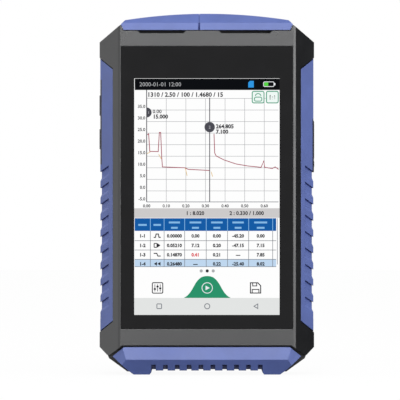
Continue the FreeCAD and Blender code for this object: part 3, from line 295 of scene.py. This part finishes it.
KEYS_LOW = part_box("function_button")[0]
KEYS_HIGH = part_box("power_button")[1]
KEY_WRAP = 0.7 * MM
KEY_REAR = 3.6 * MM
KEY_MARGIN = 6.2 * MM
FLAP_LOW, FLAP_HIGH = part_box("side_flap")
FLAP_WRAP = 0.45 * MM
FLAP_REAR = 2.7 * MM
FLAP_MARGIN = 0.3 * MM
EDGE_SHADE_AREAS = {
    "left_grip": (
        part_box("left_grip")[0].x + KEY_WRAP,
        KEYS_HIGH.y + KEY_REAR,
        KEYS_LOW.z - KEY_MARGIN,
        KEYS_HIGH.z + KEY_MARGIN,
    ),
    "right_grip": (
        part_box("right_grip")[1].x - FLAP_WRAP,
        FLAP_HIGH.y + FLAP_REAR,
        FLAP_LOW.z - FLAP_MARGIN,
        FLAP_HIGH.z + FLAP_MARGIN,
    ),
}

# Each grip's rubber gets painted shade along its outer edge.
for grip, limits in EDGE_SHADE_AREAS.items():
    frame["nodes"][grip].data.materials[0] = blue_rubber(f"{grip}_rubber", limits)


def piece(name, vertices, faces, material, body):
    """A mesh that moves with a body and takes a given material."""
    mesh = bpy.data.meshes.new(name)
    mesh.from_pydata(vertices, [], faces)
    mesh.update()
    mesh.materials.append(material)
    made = bpy.data.objects.new(name, mesh)
    bpy.context.scene.collection.objects.link(made)
    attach(made, body)
    return made


# Picture on the display

PANEL_LOW, PANEL_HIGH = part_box("display_panel")
GLASS_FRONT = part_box("cover_glass")[0].y
PICTURE_SIDE = 2.0 * MM
PICTURE_LEDGE = 4.1 * MM
PICTURE_LEFT = PANEL_LOW.x + PICTURE_SIDE
PICTURE_FOOT = PANEL_LOW.z + PICTURE_LEDGE
WIDE = (PANEL_HIGH.x - PANEL_LOW.x - 2 * PICTURE_SIDE) / MM
TALL = (PANEL_HIGH.z - PANEL_LOW.z - PICTURE_SIDE - PICTURE_LEDGE) / MM
FILM = 0.02 * MM
LAYER = 0.03 * MM
WELD = 0.001 * MM
FULL_TURN = 2 * math.pi
# A numeral's height as a share of its type size.
NUMERAL_SHARE = 0.72
# How much type is fattened, in millimetres.
THIN = 0.05
MEDIUM = 0.08
STRONG = 0.09
BOLD = 0.1


def arc(x, z, radius, start=0.0, end=FULL_TURN, count=32):
    """Points round a centre; a full turn leaves out the repeated last point."""
    full = end - start > FULL_TURN - 1e-6
    steps = count if full else count + 1
    turns = [start + (end - start) * step / count for step in range(steps)]
    return [(x + radius * math.cos(turn), z + radius * math.sin(turn)) for turn in turns]


def rounded(left, right, low, high, radius):
    """A rectangle with round corners."""
    quarter = math.pi / 2
    corner_steps = 5
    centres = (
        (right - radius, high - radius),
        (left + radius, high - radius),
        (left + radius, low + radius),
        (right - radius, low + radius),
    )
    points = []
    for index, (x, z) in enumerate(centres):
        points += arc(x, z, radius, index * quarter, (index + 1) * quarter, corner_steps)
    return points


def shifted(points, x, z):
    return [(x + aside, z + up) for aside, up in points]


class Print:
    """Flat artwork of one colour, drawn in millimetres from the picture's lower left corner."""

    def __init__(self, name, layer, colour):
        self.name = name
        self.level = GLASS_FRONT - layer * LAYER
        self.colour = colour
        self.vertices = []
        self.faces = []

    def polygon(self, points):
        first = len(self.vertices)
        for x, z in points:
            self.vertices.append((PICTURE_LEFT + x * MM, self.level, PICTURE_FOOT + z * MM))
        self.faces.append(tuple(range(first, first + len(points))))

    def rectangle(self, left, right, low, high):
        self.polygon([(left, low), (right, low), (right, high), (left, high)])

    def upright(self, x, half, low, high):
        self.rectangle(x - half, x + half, low, high)

    def level_bar(self, left, right, z, half):
        self.rectangle(left, right, z - half, z + half)

    def disc(self, x, z, radius, start=0.0, end=FULL_TURN):
        self.polygon(arc(x, z, radius, start, end))

    def stroke(self, points, width, closed=False):
        """A line of even width along points, with mitred corners."""
        sharpest = 0.4
        count = len(points)
        sides = []
        for index, point in enumerate(points):
            before = points[index - 1] if closed or index else None
            after = points[(index + 1) % count] if closed or index + 1 < count else None
            ways = [Vector(b) - Vector(a) for a, b in ((before, point), (point, after)) if a and b]
            normals = [Vector((-way.y, way.x)).normalized() for way in ways]
            middle = sum(normals, Vector((0.0, 0.0))).normalized()
            reach = width / 2 / max(middle.dot(normals[0]), sharpest)
            sides.append((Vector(point) + middle * reach, Vector(point) - middle * reach))
        for index in range(count if closed else count - 1):
            (left, right), (far_left, far_right) = sides[index], sides[(index + 1) % count]
            self.polygon([left, right, far_right, far_left])

    def frame(self, left, right, low, high, radius, width):
        self.stroke(rounded(left, right, low, high, radius), width, closed=True)

    def square(self, x, z, half, radius, width):
        self.frame(x - half, x + half, z - half, z + half, radius, width)

    def ring(self, x, z, radius, width):
        self.stroke(arc(x, z, radius), width, closed=True)

    def text(self, words, x, z, height, align="CENTER", weight=0.0):
        """Numerals of a height, centred on z."""
        curve = bpy.data.curves.new("numerals", "FONT")
        curve.body = words
        curve.size = height / NUMERAL_SHARE
        curve.align_x = align
        curve.offset = weight
        curve.resolution_u = 2
        source = bpy.data.objects.new("numerals", curve)
        bpy.context.scene.collection.objects.link(source)
        mesh = bpy.data.meshes.new_from_object(source.evaluated_get(bpy.context.evaluated_depsgraph_get()))
        for face in mesh.polygons:
            corners = [mesh.vertices[index].co for index in face.vertices]
            self.polygon([(x + corner.x, z - height / 2 + corner.y) for corner in corners])
        bpy.data.objects.remove(source)
        bpy.data.curves.remove(curve)
        bpy.data.meshes.remove(mesh)

    def finish(self):
        """Makes the artwork a thin film."""
        made = piece(self.name, self.vertices, self.faces, lit(self.name, self.colour), "case")
        weld = made.modifiers.new("weld", "WELD")
        weld.merge_threshold = WELD
        solid = made.modifiers.new("film", "SOLIDIFY")
        solid.thickness = FILM
        solid.offset = -1.0


paper = Print("screen_paper", 1, srgb(254, 254, 254))
bar = Print("screen_status_bar", 2, srgb(2, 4, 9))
strip = Print("screen_grey_strip", 2, srgb(205, 203, 203))
buttons = Print("screen_bottom_bar", 2, srgb(227, 229, 228))
header = Print("screen_table_head", 2, srgb(14, 90, 164))
chosen = Print("screen_chosen_row", 2, srgb(192, 216, 240))
green = Print("screen_green", 2, srgb(40, 146, 106))
grid = Print("screen_grid", 3, srgb(172, 173, 176))
rule = Print("screen_rules", 3, srgb(120, 124, 132))
amber = Print("screen_amber", 4, srgb(226, 190, 120))
trace = Print("screen_trace", 5, srgb(164, 58, 82))
ink = Print("screen_ink", 6, srgb(40, 40, 46))
red = Print("screen_red", 6, srgb(222, 60, 72))
pale = Print("screen_pale_ink", 6, srgb(236, 240, 244))
sky = Print("screen_blue_ink", 6, srgb(44, 150, 226))
lime = Print("screen_lime_ink", 6, srgb(84, 214, 64))
marker = Print("screen_marker", 7, srgb(74, 74, 82))
marker_ink = Print("screen_marker_ink", 8, srgb(196, 196, 202))
patch = Print("screen_button_paper", 6, srgb(240, 250, 246))
leaf = Print("screen_leaf_ink", 7, srgb(84, 164, 132))
head_ink = Print("screen_head_ink", 3, srgb(132, 186, 230))
PRINTS = (
    paper, bar, strip, buttons, header, chosen, green, grid, rule, amber, trace, ink, red, pale, sky, lime,
    marker, marker_ink, patch, leaf, head_ink,
)

# Heights in the picture, in millimetres from its foot, from the top down.
BAR_HIGH = TALL - 0.12
BAR_LOW = TALL - 5.25
BUTTON_HIGH = 100.6
BUTTON_LOW = 95.4
HEADING = BAR_LOW - 2.0
CURSOR_TOP = BAR_LOW - 3.4
CHART_TOP = BAR_LOW - 3.8
FIRST_MARK = 91.1
SECOND_MARK = 84.5
CHART_FOOT = 50.85
STRIP_HIGH = 48.0
STRIP_LOW = 43.7
TABLE_HIGH = 43.5
HEAD_LOW = 37.8
ROWS = (HEAD_LOW, 33.4, 29.2, 25.0, 21.7)
DOTS = 19.8
ICONS = 12.15
NAV_HIGH = 7.65
NAV = 3.9

# Places across the picture, in millimetres from its left side.
BAR_LEFT = 0.24
DATE = 2.3
CARD = 51.3
BATTERY_LEFT = 58.2
BATTERY_RIGHT = 62.9
AXIS = 5.6
FIRST_READINGS = 8.4
CURSOR = 33.95
CHART_RIGHT = WIDE - 0.5
BUTTON_LEFTS = (53.1, 59.5)
COLUMNS = (0.2, 7.25, 13.45, 22.7, 32.4, 42.0, 51.5, 62.3, 63.9)
SCROLL = (64.3, 64.55)
MIDDLE = WIDE / 2 + 0.15
SETTINGS = 10.5
SAVE = 54.6
RECENT = 11.25
BACK_TIP = 53.9
BACK_END = 55.6

# Half the widths of straight lines.
GRID_LINE = 0.11
FOOT_LINE = 0.16
MARK_LINE = 0.2
TABLE_LINE = 0.13
HEAD_LINE = 0.14
HEAD_BAR = 0.42

# Widths of drawn lines.
BATTERY_PEN = 0.28
EVENT_PEN = 0.3
PLAY_PEN = 0.32
TRACE_PEN = 0.36
BACK_PEN = 0.36
NAV_PEN = 0.38
FINE_PEN = 0.4
JOINT_PEN = 0.42
SETTINGS_PEN = 0.44
BUTTON_PEN = 0.45
SIGN_PEN = 0.46

# Heights of numerals.
DATE_TYPE = 1.9
HEADING_TYPE = 2.0
LOSS_TYPE = 1.45
DISTANCE_TYPE = 1.4
ZERO_TYPE = 1.7
READING_TYPE = 1.8
FIRST_TYPE = 1.2
SECOND_TYPE = 1.3
BUTTON_TYPE = 2.0
STRIP_TYPE = 1.7
TABLE_TYPE = 1.5

# The chart's grid and its scales.
GRID_COLUMNS = 7
GRID_ROWS = 9
COLUMN_STEP = 8.82
ROW_STEP = 5.2
TOP_LOSS = 35
LOSS_STEP = 5
LOSS_DROP = ROW_STEP * 0.68
DISTANCE_STEP = 0.1
DISTANCE_DROP = 1.75


def status_bar():
    """The top band: the date, a memory card and a battery."""
    bar.rectangle(BAR_LEFT, WIDE, BAR_LOW, BAR_HIGH)
    middle = (BAR_LOW + TALL) / 2
    grid.text("2000-01-01 12:00", DATE, middle, DATE_TYPE, "LEFT")
    card = ((0.0, -1.5), (2.5, -1.5), (2.5, 1.5), (0.8, 1.5), (0.0, 0.7))
    sky.polygon(shifted(card, CARD, middle))
    battery(middle)


def battery(z):
    """A frame with a pole at its right end, and the charge at its left end."""
    half = 1.05
    corner = 0.5
    pale.frame(BATTERY_LEFT, BATTERY_RIGHT, z - half, z + half, corner, BATTERY_PEN)
    pale.level_bar(BATTERY_RIGHT + 0.14, BATTERY_RIGHT + 0.6, z, 0.5)
    lime.level_bar(BATTERY_LEFT + 0.3, BATTERY_LEFT + 2.1, z, 0.8)


def chart():
    """The grid with its numbers, and a line of settings above it."""
    for column in range(1, GRID_COLUMNS):
        grid.upright(AXIS + COLUMN_STEP * column, GRID_LINE, CHART_FOOT, CHART_TOP)
    for row in range(GRID_ROWS):
        z = CHART_TOP - ROW_STEP * row
        loss = TOP_LOSS - LOSS_STEP * row
        grid.level_bar(AXIS, CHART_RIGHT, z, GRID_LINE)
        ink.text(f"{loss:.1f}", AXIS - 0.6, z - LOSS_DROP, LOSS_TYPE, "RIGHT", THIN)
    marker.upright(AXIS, MARK_LINE, CHART_FOOT, BAR_LOW)
    rule.level_bar(AXIS, CHART_RIGHT, CHART_FOOT, FOOT_LINE)
    for column in range(GRID_COLUMNS):
        x = AXIS + COLUMN_STEP * column
        distance = DISTANCE_STEP * column
        ink.text(f"{distance:.2f}", x, CHART_FOOT - DISTANCE_DROP, DISTANCE_TYPE, weight=THIN)
    ink.text("1310 / 2.50 / 100 / 1.4680 / 15", AXIS + 0.3, HEADING, HEADING_TYPE, "LEFT", STRONG)


# The measured line before and after the cursor, and the small strokes at its events.
NEAR_LINE = (
    (5.9, 81.0), (6.5, 81.5), (7.0, 73.6), (10.8, 73.5), (11.3, 82.1), (11.9, 82.1), (12.4, 70.6),
    (12.7, 66.6), (22.9, 66.2), (24.3, 65.5), (33.8, 65.0),
)
FAR_LINE = (
    (35.9, 81.5), (36.2, 72.9), (36.9, 71.5), (40.5, 69.7), (45.9, 67.9), (51.3, 67.0), (57.1, 66.4),
    (58.3, 69.3), (58.7, 66.4), (62.1, 65.9), (63.4, 66.6), (65.0, 65.5),
)
EVENTS = (
    ((5.8, 72.6), (7.2, 73.3)),
    ((11.0, 72.3), (12.2, 70.2)),
    ((23.0, 66.0), (23.8, 62.6)),
    ((34.6, 64.4), (35.3, 62.2)),
)


def measurement():
    """The measured line with its steps and peaks."""
    trace.stroke(NEAR_LINE, TRACE_PEN)
    trace.stroke(FAR_LINE, TRACE_PEN)
    for points in EVENTS:
        amber.stroke(points, EVENT_PEN)


def first_marker():
    """A half disc on the axis, with its readings."""
    radius = 2.25
    marker.disc(AXIS, FIRST_MARK, radius, -math.pi / 2, math.pi / 2)
    marker_ink.text("1", AXIS + 0.9, FIRST_MARK, FIRST_TYPE)
    ink.text("0.00", FIRST_READINGS - 0.1, FIRST_MARK + 0.5, ZERO_TYPE, "LEFT", THIN)
    ink.text("15.000", FIRST_READINGS, FIRST_MARK - 1.8, READING_TYPE, "LEFT", BOLD)


def second_marker():
    """A disc on the cursor, with its readings."""
    radius = 2.35
    readings = CURSOR + 2.8
    marker.upright(CURSOR, MARK_LINE, CHART_FOOT, CURSOR_TOP)
    marker.disc(CURSOR, SECOND_MARK, radius)
    marker_ink.text("2", CURSOR, SECOND_MARK, SECOND_TYPE)
    for words, up in (("264.805", 0.4), ("7.100", -2.0)):
        ink.text(words, readings, SECOND_MARK + up, READING_TYPE, "LEFT", BOLD)


def chart_buttons():
    """Two keys on the chart, with a lock and with a scale."""
    wide = 5.3
    corner = 0.7
    for left in BUTTON_LEFTS:
        patch.polygon(rounded(left, left + wide, BUTTON_LOW, BUTTON_HIGH, corner))
        leaf.frame(left, left + wide, BUTTON_LOW, BUTTON_HIGH, corner, BUTTON_PEN)
    middle = (BUTTON_LOW + BUTTON_HIGH) / 2
    lock, scale = (left + wide / 2 for left in BUTTON_LEFTS)
    bow = 1.3
    bow_end = 0.2
    bow_steps = 10
    half = 1.65
    leaf.stroke(arc(lock, middle + 0.3, bow, bow_end, math.pi - bow_end, bow_steps), FINE_PEN)
    leaf.frame(lock - half, lock + half, middle - 1.8, middle, corner, FINE_PEN)
    ink.text("1:1", scale, middle, BUTTON_TYPE, weight=MEDIUM)


def summary_strip():
    """Two sums on a grey band below the chart."""
    middle = (STRIP_LOW + STRIP_HIGH) / 2
    strip.rectangle(0, WIDE, STRIP_LOW, STRIP_HIGH)
    for x, words in ((27.4, "1 : 8.020"), (50.6, "2 : 0.330 / 1.000")):
        ink.text(words, x, middle, STRIP_TYPE, weight=MEDIUM)


# The table's numbers, with the second column left to signs, and the row and column of the one in red.
VALUES = (
    ("1-1", "", "0.00000", "0.00", "0.00", "-45.20", "0.00"),
    ("1-2", "", "0.05210", "7.12", "0.20", "-47.15", "7.15"),
    ("1-3", "", "0.14870", "0.41", "0.21", "---", "7.85"),
    ("1-4", "", "0.26480", "---", "0.22", "-25.40", "8.02"),
)
IN_RED = (2, 3)
# Heights of the bars that stand for a heading, with half their lengths as shares of the column.
NARROW_COLUMNS = 2
ONE_BAR = ((40.5, 0.27),)
TWO_BARS = ((41.6, 0.27), (39.2, 0.16))


def row_middle(row):
    """The height of a row's numbers; the last row is cut off close below them."""
    last = len(VALUES) - 1
    return ROWS[last] - 2.0 if row == last else (ROWS[row] + ROWS[row + 1]) / 2


def table():
    """A head, a chosen last row, columns of numbers and a scroll bar."""
    left = COLUMNS[0]
    right = COLUMNS[-1]
    header.rectangle(left, right, HEAD_LOW, TABLE_HIGH)
    chosen.rectangle(left, right, ROWS[-1], ROWS[-2])
    for x in COLUMNS[1:-1]:
        head_ink.upright(x, HEAD_LINE, HEAD_LOW, TABLE_HIGH)
        rule.upright(x, TABLE_LINE, ROWS[-1], HEAD_LOW)
    for z in ROWS[1:]:
        rule.level_bar(left, right, z, TABLE_LINE)
    for column in range(len(VALUES[0])):
        table_column(column, COLUMNS[column], COLUMNS[column + 1])
    rule.rectangle(*SCROLL, ROWS[-1] + 1.0, TABLE_HIGH)
    symbols((COLUMNS[1] + COLUMNS[2]) / 2)


def table_column(column, left, right):
    """One or two bars for a heading, and the numbers below."""
    middle = (left + right) / 2
    for z, share in ONE_BAR if column < NARROW_COLUMNS else TWO_BARS:
        half = (right - left) * share
        head_ink.level_bar(middle - half, middle + half, z, HEAD_BAR)
    for row, values in enumerate(VALUES):
        pen = red if (row, column) == IN_RED else ink
        if values[column]:
            pen.text(values[column], middle, row_middle(row), TABLE_TYPE, weight=BOLD)


PULSE = ((-1.6, -0.7), (-0.8, -0.7), (-0.5, 0.8), (0.5, 0.8), (0.8, -0.7), (1.6, -0.7))
ARROW = ((0.1, -1.0), (1.5, 0.0), (0.1, 1.0))
STEP = ((-1.6, 0.6), (-0.2, 0.6), (0.3, -0.6), (1.6, -0.6))
END = ((0.0, 0.0), (1.4, -0.9), (1.4, 0.9))


def symbols(x):
    """Signs of the kinds of event: a pulse, a joint, a step and an end."""
    ink.stroke(shifted(PULSE, x, row_middle(0)), SIGN_PEN)
    z = row_middle(1)
    half = 0.9
    corner = 0.3
    ink.frame(x - 1.4, x - 0.1, z - half, z + half, corner, JOINT_PEN)
    ink.polygon(shifted(ARROW, x, z))
    ink.stroke(shifted(STEP, x, row_middle(2)), SIGN_PEN)
    for tip in (-1.5, 0.1):
        ink.polygon(shifted(END, x + tip, row_middle(3)))


def page_dots():
    """Three dots, of which the middle one is chosen."""
    radius = 0.72
    spacing = 2.7
    for place, pen in ((-1, grid), (0, ink), (1, grid)):
        pen.disc(MIDDLE + spacing * place, DOTS, radius)


# Half widths and heights of the start button's hump, from its foot up.
HUMP = (
    (10.6, 0.0), (9.7, 0.5), (8.8, 1.2), (7.9, 2.2), (7.2, 3.2), (6.6, 4.2), (6.05, 5.2), (5.5, 6.2),
    (4.9, 7.1), (4.3, 7.9), (3.5, 8.7), (2.5, 9.4), (1.3, 9.75), (0.4, 9.85),
)
PLAY = ((-0.75, -1.05), (1.15, 0.0), (-0.75, 1.05))


def start_button():
    """A green hump on the lowest band, with a triangle in a ring."""
    radius = 2.35
    right = [(MIDDLE + half, NAV_HIGH + rise) for half, rise in HUMP]
    left = [(MIDDLE - half, NAV_HIGH + rise) for half, rise in reversed(HUMP)]
    green.polygon(right + left)
    pale.ring(MIDDLE, ICONS, radius, PLAY_PEN)
    pale.polygon(shifted(PLAY, MIDDLE, ICONS))


def settings_icon():
    """Three sliders in a frame."""
    half = 2.35
    corner = 0.5
    travel = 1.6
    ink.square(SETTINGS, ICONS, half, corner, SETTINGS_PEN)
    for offset, knob in ((-1.2, -0.5), (0.0, 0.6), (1.2, -0.2)):
        x = SETTINGS + offset
        ink.upright(x, 0.16, ICONS - travel, ICONS + travel)
        ink.level_bar(x - 0.5, x + 0.5, ICONS + knob, 0.35)


DISK = ((-2.3, -2.3), (2.3, -2.3), (2.3, 1.0), (1.0, 2.3), (-2.3, 2.3))
DISK_PARTS = (
    ((-1.3, 2.2), (-1.3, 0.9), (0.5, 0.9), (0.5, 2.2)),
    ((-1.5, -2.2), (-1.5, -0.7), (1.5, -0.7), (1.5, -2.2)),
)


def save_icon():
    """A disk with its slide and its label."""
    ink.stroke(shifted(DISK, SAVE, ICONS), SIGN_PEN, closed=True)
    for points in DISK_PARTS:
        ink.stroke(shifted(points, SAVE, ICONS), FINE_PEN)


def bottom_bar():
    """A square, a ring and a triangle on the lowest band."""
    half = 1.05
    corner = 0.3
    radius = 1.15
    buttons.rectangle(0, WIDE, 0, NAV_HIGH)
    rule.square(RECENT, NAV, half, corner, NAV_PEN)
    rule.ring(MIDDLE, NAV, radius, NAV_PEN)
    triangle = ((BACK_TIP, NAV), (BACK_END, NAV - half), (BACK_END, NAV + half))
    rule.stroke(triangle, BACK_PEN, closed=True)


paper.rectangle(0, WIDE, 0, TALL)
status_bar()
chart()
measurement()
first_marker()
second_marker()
chart_buttons()
summary_strip()
table()
page_dots()
start_button()
settings_icon()
save_icon()
bottom_bar()
for artwork in PRINTS:
    artwork.finish()


# Threads on the port barrels

THREADS = {"otdr_thread": "otdr_adapter", "meter_thread": "meter_adapter"}
BARREL = 4.0 * MM
THREAD_PITCH = 0.8 * MM
THREAD_RISE = 0.28 * MM
THREAD_SUNK = 0.05 * MM
THREAD_FLANK = 0.34 * THREAD_PITCH
THREAD_LONG = 6.2 * MM
THREAD_TURNS = 7
THREAD_STEPS = 30


def thread(name, node):
    """A helical ridge round the barrel of a port, which fades out over its first and last turn."""
    low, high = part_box(node)
    x = (low.x + high.x) / 2
    y = (low.y + high.y) / 2
    foot = high.z - THREAD_LONG
    root = BARREL - THREAD_SUNK
    steps = THREAD_TURNS * THREAD_STEPS
    vertices = []
    faces = []
    for step in range(steps + 1):
        turn = FULL_TURN * step / THREAD_STEPS
        fade = min(1.0, step / THREAD_STEPS, (steps - step) / THREAD_STEPS)
        z = foot + THREAD_PITCH * step / THREAD_STEPS
        profile = ((root, -THREAD_FLANK), (BARREL + THREAD_RISE * fade, 0.0), (root, THREAD_FLANK))
        for reach, lift in profile:
            vertices.append((x + reach * math.cos(turn), y + reach * math.sin(turn), z + lift))
    for step in range(steps):
        first = 3 * step
        for one, two in ((0, 1), (1, 2), (2, 0)):
            faces.append((first + one, first + 3 + one, first + 3 + two, first + two))
    last = 3 * steps
    faces.append((0, 1, 2))
    faces.append((last + 2, last + 1, last))
    piece(name, vertices, faces, SLOTS["port_metal"], "case")


for ridge, adapter in THREADS.items():
    thread(ridge, adapter)


# Black sheets of painted shade behind the finger notches of the port covers

NOTCHES = {"left_notch_shade_sheet": (-31.2, -9.4), "right_notch_shade_sheet": (5.4, 29.5)}
NOTCH_WALL = GLASS_FRONT + 4.5 * MM
NOTCH_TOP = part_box("left_port_cover")[0].z - 0.35 * MM
# Where each black sheet of painted shade stands.
SHEET_FRONT = NOTCH_WALL - 0.5 * MM
SHEET_REAR = NOTCH_WALL - 0.05 * MM
SHEET_LOW = NOTCH_TOP - 1.1 * MM
SHEET_HIGH = NOTCH_TOP + 0.2 * MM


def notch_shade_sheet(name, left, right):
    """A black sheet of painted shade that stands against the rear wall of a notch."""
    corners = [
        (x * MM, y, z)
        for x in (left, right)
        for y in (SHEET_FRONT, SHEET_REAR)
        for z in (SHEET_LOW, SHEET_HIGH)
    ]
    faces = ((0, 1, 3, 2), (4, 6, 7, 5), (0, 4, 5, 1), (2, 3, 7, 6), (0, 2, 6, 4), (1, 5, 7, 3))
    # The sheet takes the seals' black material, as painted shade in the notch.
    piece(name, corners, faces, SLOTS["seal_black"], "case")


for shade_sheet, (start, end) in NOTCHES.items():
    notch_shade_sheet(shade_sheet, start, end)


# Raised rim on the outside of the flap

NUB_RISE = 0.15 * MM
FLAP_FACE = FLAP_HIGH.x - NUB_RISE
RIM_INSET = 0.3
RIM_WIDE = 1.0
RIM_ROUND = 1.2
RIM_ABOVE_FOOT = 6.2
RIM_BELOW_HINGE = 1.7
RIM_RISE = 0.13 * MM
RIM_SUNK = 0.05 * MM


def flap_rim():
    """A flat ring between the nub at the flap's foot and its hinge."""
    outer = (
        FLAP_LOW.y / MM + RIM_INSET,
        FLAP_HIGH.y / MM - RIM_INSET,
        FLAP_LOW.z / MM + RIM_ABOVE_FOOT,
        FLAP_HIGH.z / MM - RIM_BELOW_HINGE,
    )
    inner = [side + RIM_WIDE * way for side, way in zip(outer, (1, -1, 1, -1))]
    outlines = (rounded(*outer, RIM_ROUND), rounded(*inner, RIM_ROUND - RIM_WIDE))
    levels = (FLAP_FACE - RIM_SUNK, FLAP_FACE + RIM_RISE)
    vertices = [(x, y * MM, z * MM) for x in levels for outline in outlines for y, z in outline]
    count = len(outlines[0])
    faces = []
    for start, end in ((0, 2), (2, 3), (3, 1), (1, 0)):
        for index in range(count):
            after = (index + 1) % count
            near = start * count
            far = end * count
            faces.append((near + index, near + after, far + after, far + index))
    piece("flap_rim", vertices, faces, SLOTS["flap_black"], "flap")


flap_rim()


# Stage, light and camera

AMBIENT = 0.76
FLOOR_SIZE = 6.0
FLOOR_TONE = 0.06
FLOOR_GLOW = 0.94
FLOOR_DROP = 0.2 * MM
CARD_TONE = 0.01
AIM = Vector((0.0, 0.0, 0.08))
# Place, turn and size of each dark card.
CARDS = {
    "side_card": ((0.35, 0.32, 0.5), (0, 1.22, 0), 1.2),
    "floor_card": ((0.32, 0.10, 0.0003), (0, 0, 0), 0.72),
    "top_card": ((-0.05, 0.50, 0.75), (0, 0, 0), 1.0),
}
# Place, width, height, power and whether matt surfaces are lit, for each light.
LIGHTS = {
    "front_softbox": ((-0.1, -1.9, 1.5), 0.9, 0.6, 16.5, True),
    "left_sheen": ((-0.42, -2.3, 0.08), 0.4, 1.0, 6.0, False),
    "right_sheen": ((0.42, -2.3, 0.08), 0.4, 1.0, 6.0, False),
    "right_softbox": ((0.95, -1.02, 0.28), 0.95, 0.95, 9.4, True),
}


def background(tree, plain):
    """White for what sees the background, and a plain grey for what it lights."""
    path = tree.nodes.new("ShaderNodeLightPath")
    seen = path.outputs["Is Camera Ray"]
    for other in ("Is Glossy Ray", "Is Transmission Ray"):
        joined = tree.nodes.new("ShaderNodeMath")
        joined.operation = "MAXIMUM"
        tree.links.new(seen, joined.inputs[0])
        tree.links.new(path.outputs[other], joined.inputs[1])
        seen = joined.outputs[0]
    mix = tree.nodes.new("ShaderNodeMix")
    mix.data_type = "RGBA"
    mix.inputs["A"].default_value = grey(plain)
    mix.inputs["B"].default_value = grey(1.0)
    tree.links.new(seen, mix.inputs["Factor"])
    return mix.outputs["Result"]


def world():
    made = bpy.data.worlds.new("studio")
    made.use_nodes = True
    tree = made.node_tree
    tree.links.new(background(tree, AMBIENT), tree.nodes["Background"].inputs["Color"])
    bpy.context.scene.world = made


def plane(name, size, place, turn=(0, 0, 0)):
    """A flat piece of the stage, with a material of its own."""
    bpy.ops.mesh.primitive_plane_add(size=size, location=place, rotation=turn)
    made = bpy.context.object
    made.name = name
    material = bpy.data.materials.new(name)
    material.use_nodes = True
    made.data.materials.append(material)
    return made


def floor():
    """A white floor that takes only a faint shadow."""
    made = plane("floor", FLOOR_SIZE, (0, 0, -FLOOR_DROP))
    tree = made.active_material.node_tree
    surface = tree.nodes["Principled BSDF"]
    surface.inputs["Base Color"].default_value = grey(FLOOR_TONE)
    surface.inputs["Roughness"].default_value = 0.9
    surface.inputs["Specular IOR Level"].default_value = 0.0
    surface.inputs["Emission Strength"].default_value = FLOOR_GLOW
    tree.links.new(background(tree, 0.0), surface.inputs["Emission Color"])


def black_card(name, place, turn, size):
    """A dark card beside the object that only reflections see."""
    made = plane(name, size, place, turn)
    surface = made.active_material.node_tree.nodes["Principled BSDF"]
    surface.inputs["Base Color"].default_value = grey(CARD_TONE)
    made.visible_camera = False
    made.visible_diffuse = False
    made.visible_shadow = False


def light(name, place, width, height, power, diffuse):
    """A rectangular light that faces the object."""
    panel = bpy.data.lights.new(name, "AREA")
    panel.shape = "RECTANGLE"
    panel.size = width
    panel.size_y = height
    panel.energy = power
    made = bpy.data.objects.new(name, panel)
    made.location = place
    made.rotation_euler = (AIM - Vector(place)).to_track_quat("-Z", "Y").to_euler()
    made.visible_diffuse = diffuse
    bpy.context.scene.collection.objects.link(made)


def camera():
    """Square to the display, far enough away for an almost parallel view."""
    view_width = 0.180
    view_middle = (-0.0031, 0.07866)
    view = bpy.data.cameras.new("camera")
    view.lens = 400.0
    view.sensor_width = 36.0
    view.clip_end = 20.0
    distance = view_width * view.lens / view.sensor_width
    made = bpy.data.objects.new("camera", view)
    made.location = (view_middle[0], GLASS_FRONT - distance, view_middle[1])
    made.rotation_euler = (math.pi / 2, 0, 0)
    bpy.context.scene.collection.objects.link(made)
    bpy.context.scene.camera = made


world()
floor()
for card, settings in CARDS.items():
    black_card(card, *settings)
for lamp, settings in LIGHTS.items():
    light(lamp, *settings)
camera()
bpy.context.scene.view_settings.view_transform = "Standard"
